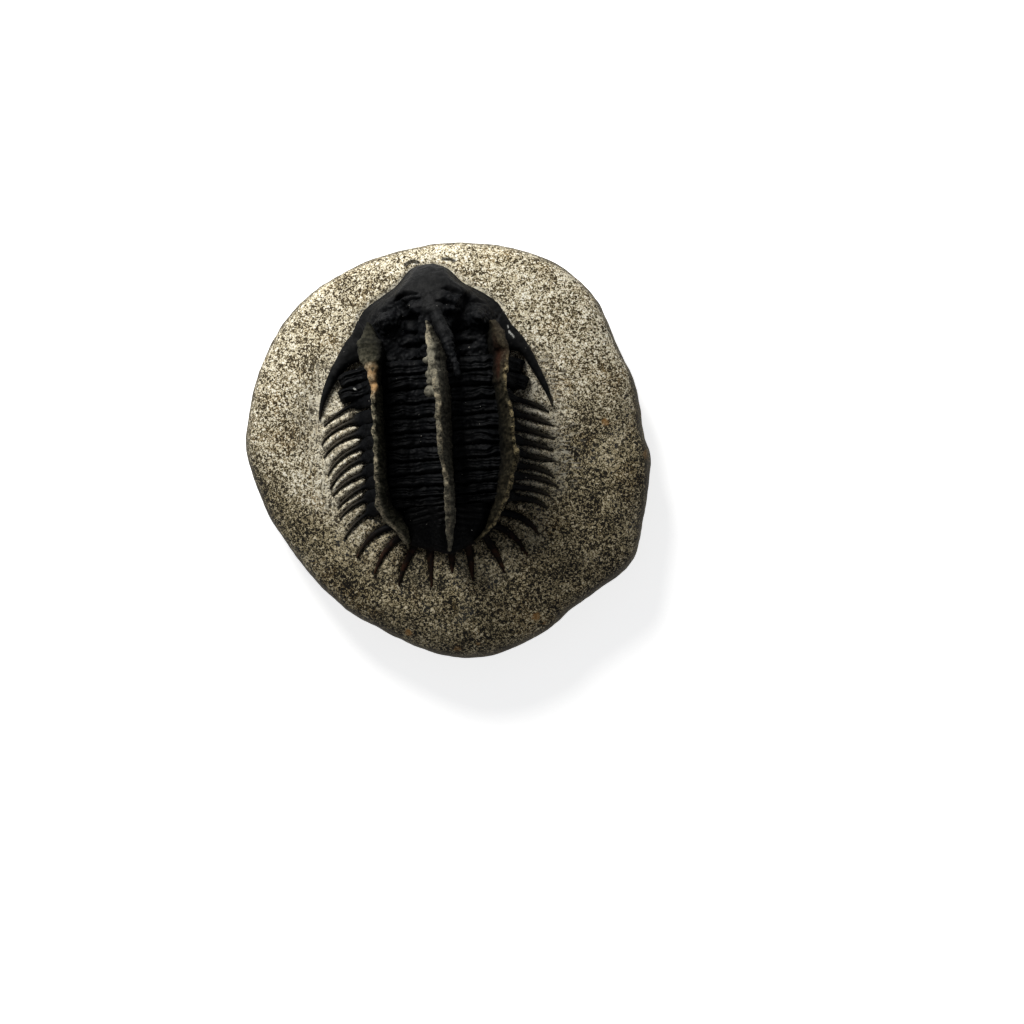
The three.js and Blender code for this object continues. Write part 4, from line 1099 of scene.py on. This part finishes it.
class Finish:
    """A material built node by node."""

    def __init__(self, name):
        self.material = bpy.data.materials.new(name)
        self.material.use_nodes = True
        self.tree = self.material.node_tree
        self.shader = self.tree.nodes["Principled BSDF"]
        self.where = self.node("ShaderNodeTexCoord")["Object"]

    def node(self, kind, settings=None, inputs=None):
        """Adds a node, sets it up, and then fills its sockets with numbers, colours or values."""
        made = self.tree.nodes.new(kind)
        for key, setting in (settings or {}).items():
            setattr(made, key, setting)
        for key, value in (inputs or {}).items():
            self.fill(made.inputs[key], value)
        return Node(self, made)

    def fill(self, socket, value):
        if isinstance(value, Value):
            self.tree.links.new(value.socket, socket)
        elif isinstance(value, tuple) and len(value) == 3 and socket.type == "RGBA":
            socket.default_value = (*value, 1)
        else:
            socket.default_value = value

    def noise(self, size, detail=2, roughness=0.5, distortion=0.0, where=None):
        """Cloudy values with lumps of the given size in millimetres."""
        inputs = {"Vector": where or self.where, "Scale": 1 / (size * MM), "Detail": detail,
                  "Roughness": roughness, "Distortion": distortion}
        return self.node("ShaderNodeTexNoise", None, inputs)["Fac"]

    def step(self, value, low, high):
        """Goes from 0 at low to 1 at high."""
        inputs = {"Value": value, "From Min": low, "From Max": high}
        return self.node("ShaderNodeMapRange", {"interpolation_type": "SMOOTHSTEP"}, inputs)["Result"]

    def mix(self, first, second, factor):
        settings = {"data_type": "RGBA", "clamp_factor": True}
        made = self.node("ShaderNodeMix", settings).made
        self.fill(made.inputs[0], factor)
        self.fill(made.inputs[6], first)
        self.fill(made.inputs[7], second)
        return Value(self, made.outputs[2])

    def painted(self, name):
        return self.node("ShaderNodeAttribute", {"attribute_name": name})["Fac"]

    def stretched(self, x, y, z):
        """The object's coordinates stretched along its axes."""
        made = self.node("ShaderNodeVectorMath", {"operation": "MULTIPLY"}, {0: self.where, 1: (x, y, z)})
        return made["Vector"]

    def relief(self, *layers):
        """Small relief: each layer is a value and its height in millimetres."""
        normal = None
        for height, size in layers:
            inputs = {"Height": height, "Distance": size * MM, "Strength": 1.0}
            if normal is not None:
                inputs["Normal"] = normal
            normal = self.node("ShaderNodeBump", None, inputs)["Normal"]
        return normal

    def surface(self, **inputs):
        for name, value in inputs.items():
            self.fill(self.shader.inputs[name.replace("_", " ")], value)
        return self.material


CHALK = (0.8, 0.78, 0.7)
CREAM = (0.6, 0.54, 0.39)
TAN = (0.23, 0.185, 0.105)
OCHRE = (0.27, 0.19, 0.085)
COFFEE = (0.03, 0.022, 0.011)
# The next five are shaded copies of the stone's colours, for painted shade mixed with some darker stone tone
SHADED_CHALK = (0.62, 0.55, 0.4)
SHADED_CREAM = (0.33, 0.275, 0.165)
SHADED_TAN = (0.115, 0.093, 0.047)
SHADED_OCHRE = (0.14, 0.095, 0.035)
SHADED_COFFEE = (0.006, 0.0045, 0.0025)
SLATE = (0.02, 0.022, 0.024)
RUST = (0.26, 0.14, 0.045)
RIND = (0.09, 0.076, 0.045)
POWDER = (0.7, 0.655, 0.53)


def limestone():
    """Short pale strokes in a fine tangle over tan and brown, with powder and scratches round the fossil, and
    painted light and shade: lit and shaded copies of its colours.
    """
    f = Finish("speckled limestone")
    tangle = f.noise(0.62, detail=2, roughness=0.6, distortion=1.1)
    fine = f.noise(0.32, detail=1)
    clouds = f.noise(12, detail=3, roughness=0.6)
    patches = f.noise(4.5, detail=2, roughness=0.6)
    tint = f.noise(2.6, detail=2, roughness=0.6)
    winding = f.noise(0.95, detail=1, distortion=0.4) - 0.5
    threads = f.step(winding * winding, 0.0022, 0.0002)
    ochre = f.step(f.noise(7, detail=3, roughness=0.65) + f.painted("ochre") * 0.2, 0.5, 0.68)
    # The pale mark is painted light and shade over the face, partly the stone's own tone
    pale = f.painted("pale")
    rind = f.painted("rind")
    level = tangle * 0.75 + fine * 0.25 + threads * 0.06 - 0.015
    # Painted light and shade: the lit colours on the upper left give way to their shaded copies towards the
    # lower right
    light_and_tone = f.step(pale + (patches - 0.5) * 0.5, 0.02, 0.9)
    level = level + (clouds - 0.5) * 0.16 + (patches - 0.5) * 0.12 - rind * 0.06 + (light_and_tone - 1) * 0.016
    level = level - f.painted("dim") * f.step(tint, 0.35, 0.6) * 0.04
    dark = f.mix(f.mix(SHADED_COFFEE, SLATE, f.step(clouds, 0.52, 0.64)), COFFEE, light_and_tone)
    middle = f.mix(f.mix(SHADED_TAN, TAN, light_and_tone), f.mix(SHADED_OCHRE, OCHRE, light_and_tone), ochre)
    colour = f.mix(dark, middle, f.step(level, 0.45, 0.485))
    colour = f.mix(colour, f.mix(SHADED_CREAM, CREAM, light_and_tone), f.step(level + (tint - 0.5) * 0.1, 0.495, 0.53))
    colour = f.mix(colour, f.mix(SHADED_CHALK, CHALK, light_and_tone), f.step(level, 0.57, 0.62))
    colour = f.mix(colour, RUST, f.step(f.painted("rust") * (tint + fine), 0.5, 0.8) * 0.75)
    specks = 0.35 + f.step(level, 0.42, 0.49) * 0.65
    # The powder mark also carries painted light on the fingers beside the right wall
    powder = f.painted("powder") * (0.3 + f.step(f.noise(2.2, detail=3), 0.4, 0.65) * 0.55)
    colour = f.mix(colour, POWDER, powder * specks)
    long_hairs = f.step(f.noise(0.5, detail=1, distortion=0.5, where=f.stretched(1, 0.16, 1)), 0.54, 0.62)
    wide_hairs = f.step(f.noise(0.5, detail=1, distortion=0.6, where=f.stretched(0.24, 1, 1)), 0.56, 0.64)
    hairs = f.painted("along tips") * long_hairs + f.painted("off tips") * wide_hairs
    colour = f.mix(colour, POWDER, hairs * 0.55)
    # Painted shade along the edges of the spines, and the dark flakes
    colour = f.mix(colour, SHADED_COFFEE, f.painted("flakes and groove shade") * 0.9)
    bark = f.mix(f.mix(COFFEE, RIND, f.step(level, 0.42, 0.5)), SHADED_CREAM, f.step(level, 0.53, 0.6) * 0.6)
    colour = f.mix(colour, bark, rind * 0.85)
    normal = f.relief((level, 0.26), (hairs, 0.08))
    return f.surface(Base_Color=colour, Roughness=0.9, Normal=normal, Specular_IOR_Level=0.25)


def shell():
    """Near-black calcite shell: greyer where it is smooth, brown on the tail spines, with specks of dust and
    painted shade near the tail.
    """
    f = Finish("black fossil shell")
    mottle = f.noise(1.6, detail=4, roughness=0.6)
    fine = f.noise(0.35, detail=2, roughness=0.6)
    grain = f.step(mottle * 0.6 + fine * 0.4, 0.4, 0.64)
    coal = f.mix((0.0016, 0.0018, 0.0022), (0.0058, 0.0062, 0.0072), grain)
    smooth = f.mix((0.0036, 0.0038, 0.0041), (0.007, 0.0071, 0.0074), f.step(mottle, 0.4, 0.6))
    colour = f.mix(coal, smooth, f.painted("smooth"))
    brown = f.mix((0.009, 0.006, 0.0045), (0.03, 0.013, 0.007), f.step(mottle, 0.42, 0.6))
    colour = f.mix(colour, brown, f.painted("brown"))
    # Painted shade near the tail, between the ends of the walls
    colour = f.mix(colour, (0.0009, 0.0009, 0.001), f.painted("channel shade") * 0.8)
    colour = f.mix(colour, (0.11, 0.095, 0.07), f.painted("dusty") * (0.2 + f.step(fine, 0.4, 0.6) * 0.6))
    colour = f.mix(colour, (0.3, 0.29, 0.26), f.step(f.noise(0.55, detail=0), 0.86, 0.9))
    colour = f.mix(colour, (0.5, 0.5, 0.47), f.painted("chalk") * f.step(fine, 0.35, 0.5))
    rough = 0.5 + f.step(fine, 0.35, 0.7) * 0.2
    normal = f.relief((mottle, 0.16), (fine, 0.05))
    return f.surface(Base_Color=colour, Roughness=rough, Normal=normal, Specular_IOR_Level=0.07)


def wall_rock(name, face, streak, crest, warm, stain):
    """Tooled rock, streaked down its faces, with a pale crest where it was left rough and painted shade on
    its inner face.
    """
    f = Finish(name)
    streaks = f.noise(0.7, detail=3, roughness=0.6, where=f.stretched(1, 1, 0.12))
    mottle = f.noise(1.5, detail=3, roughness=0.6)
    fine = f.noise(0.35, detail=2, roughness=0.6)
    colour = f.mix(face, streak, f.step(streaks, 0.4, 0.64))
    colour = f.mix(colour, crest, f.painted("crest") * f.step(mottle * 0.6 + fine * 0.4, 0.44, 0.62))
    colour = f.mix(colour, warm, f.painted("warm") * f.step(mottle, 0.3, 0.56) * 0.85)
    colour = f.mix(colour, stain, f.painted("stain") * (0.85 + f.step(mottle, 0.4, 0.6) * 0.15))
    # Painted shade on the inner face
    colour = f.mix(colour, (0.003, 0.003, 0.0025), f.painted("shade") * 0.93)
    normal = f.relief((streaks, 0.22), (mottle, 0.2), (fine, 0.06))
    return f.surface(Base_Color=colour, Roughness=0.85, Normal=normal, Specular_IOR_Level=0.06)


# Studio

def build_stage():
    """A pale floor."""
    turn = np.linspace(0, 2 * np.pi, 64, endpoint=False)
    rim = np.column_stack([np.cos(turn), np.sin(turn), np.zeros(len(turn))]) * STAGE_RADIUS * MM
    mesh = bpy.data.meshes.new("floor")
    mesh.from_pydata(rim.tolist(), [], [list(range(len(turn)))])
    floor = bpy.data.objects.new("floor", mesh)
    bpy.context.scene.collection.objects.link(floor)
    f = Finish("pale floor")
    pale = (0.86, 0.86, 0.86)
    f.surface(Base_Color=pale, Roughness=0.9, Emission_Color=(1, 1, 1), Emission_Strength=FLOOR_GLOW)
    mesh.materials.append(f.material)


def add_light(name, place, size, power, colour):
    lamp = bpy.data.lights.new(name, "AREA")
    lamp.shape = "DISK"
    lamp.size = size * MM
    lamp.energy = power
    lamp.color = colour
    holder = bpy.data.objects.new(name, lamp)
    holder.location = Vector(place) * MM
    holder.rotation_euler = (-holder.location).to_track_quat("-Z", "Y").to_euler()
    bpy.context.scene.collection.objects.link(holder)


def build_studio():
    add_light("window", LAMP_PLACE, LAMP_SIZE, LAMP_POWER, (1, 0.985, 0.95))
    world = bpy.data.worlds.new("studio")
    world.use_nodes = True
    world.node_tree.nodes["Background"].inputs["Color"].default_value = (0.94, 0.96, 1, 1)
    world.node_tree.nodes["Background"].inputs["Strength"].default_value = SKY
    bpy.context.scene.world = world
    bpy.context.scene.view_settings.view_transform = "Standard"


def build_camera():
    data = bpy.data.cameras.new("camera")
    data.sensor_width = SENSOR
    data.lens = SENSOR * VIEW_DISTANCE / VIEW_WIDTH
    camera = bpy.data.objects.new("camera", data)
    camera.location = Vector((*VIEW_PLACE, SLAB_FACE + VIEW_DISTANCE)) * MM
    bpy.context.scene.collection.objects.link(camera)
    bpy.context.scene.camera = camera


build_camera()
build_studio()
build_stage()
build_slab(limestone())
shell_finish = shell()
build_head(shell_finish)
for segment_number in range(1, len(SEGMENT_EDGES)):
    build_segment(segment_number, shell_finish)
build_tail(shell_finish)
grey_wall = wall_rock(
    "grey wall rock", (0.036, 0.034, 0.026), (0.105, 0.098, 0.073), (0.28, 0.24, 0.165), (0.2, 0.19, 0.15),
    (0.02, 0.019, 0.016),
)
olive_wall = wall_rock(
    "olive wall rock", (0.02, 0.02, 0.013), (0.08, 0.075, 0.052), (0.36, 0.31, 0.215), (0.38, 0.22, 0.095),
    (0.0035, 0.0035, 0.002),
)
brown_wall = wall_rock(
    "brown wall rock", (0.008, 0.0072, 0.0042), (0.034, 0.029, 0.018), (0.26, 0.21, 0.115),
    (0.016, 0.012, 0.0075), (0.04, 0.013, 0.007),
)
build_wall("wall_left", WALL_LEFT, 131, olive_wall, LEFT_WARM_SPOTS, LEFT_STAINS)
build_wall("wall_middle", WALL_MIDDLE, 141, grey_wall, MIDDLE_WARM_SPOTS, [])
build_wall("wall_right", WALL_RIGHT, 151, brown_wall, RIGHT_WARM_SPOTS, RIGHT_STAINS)
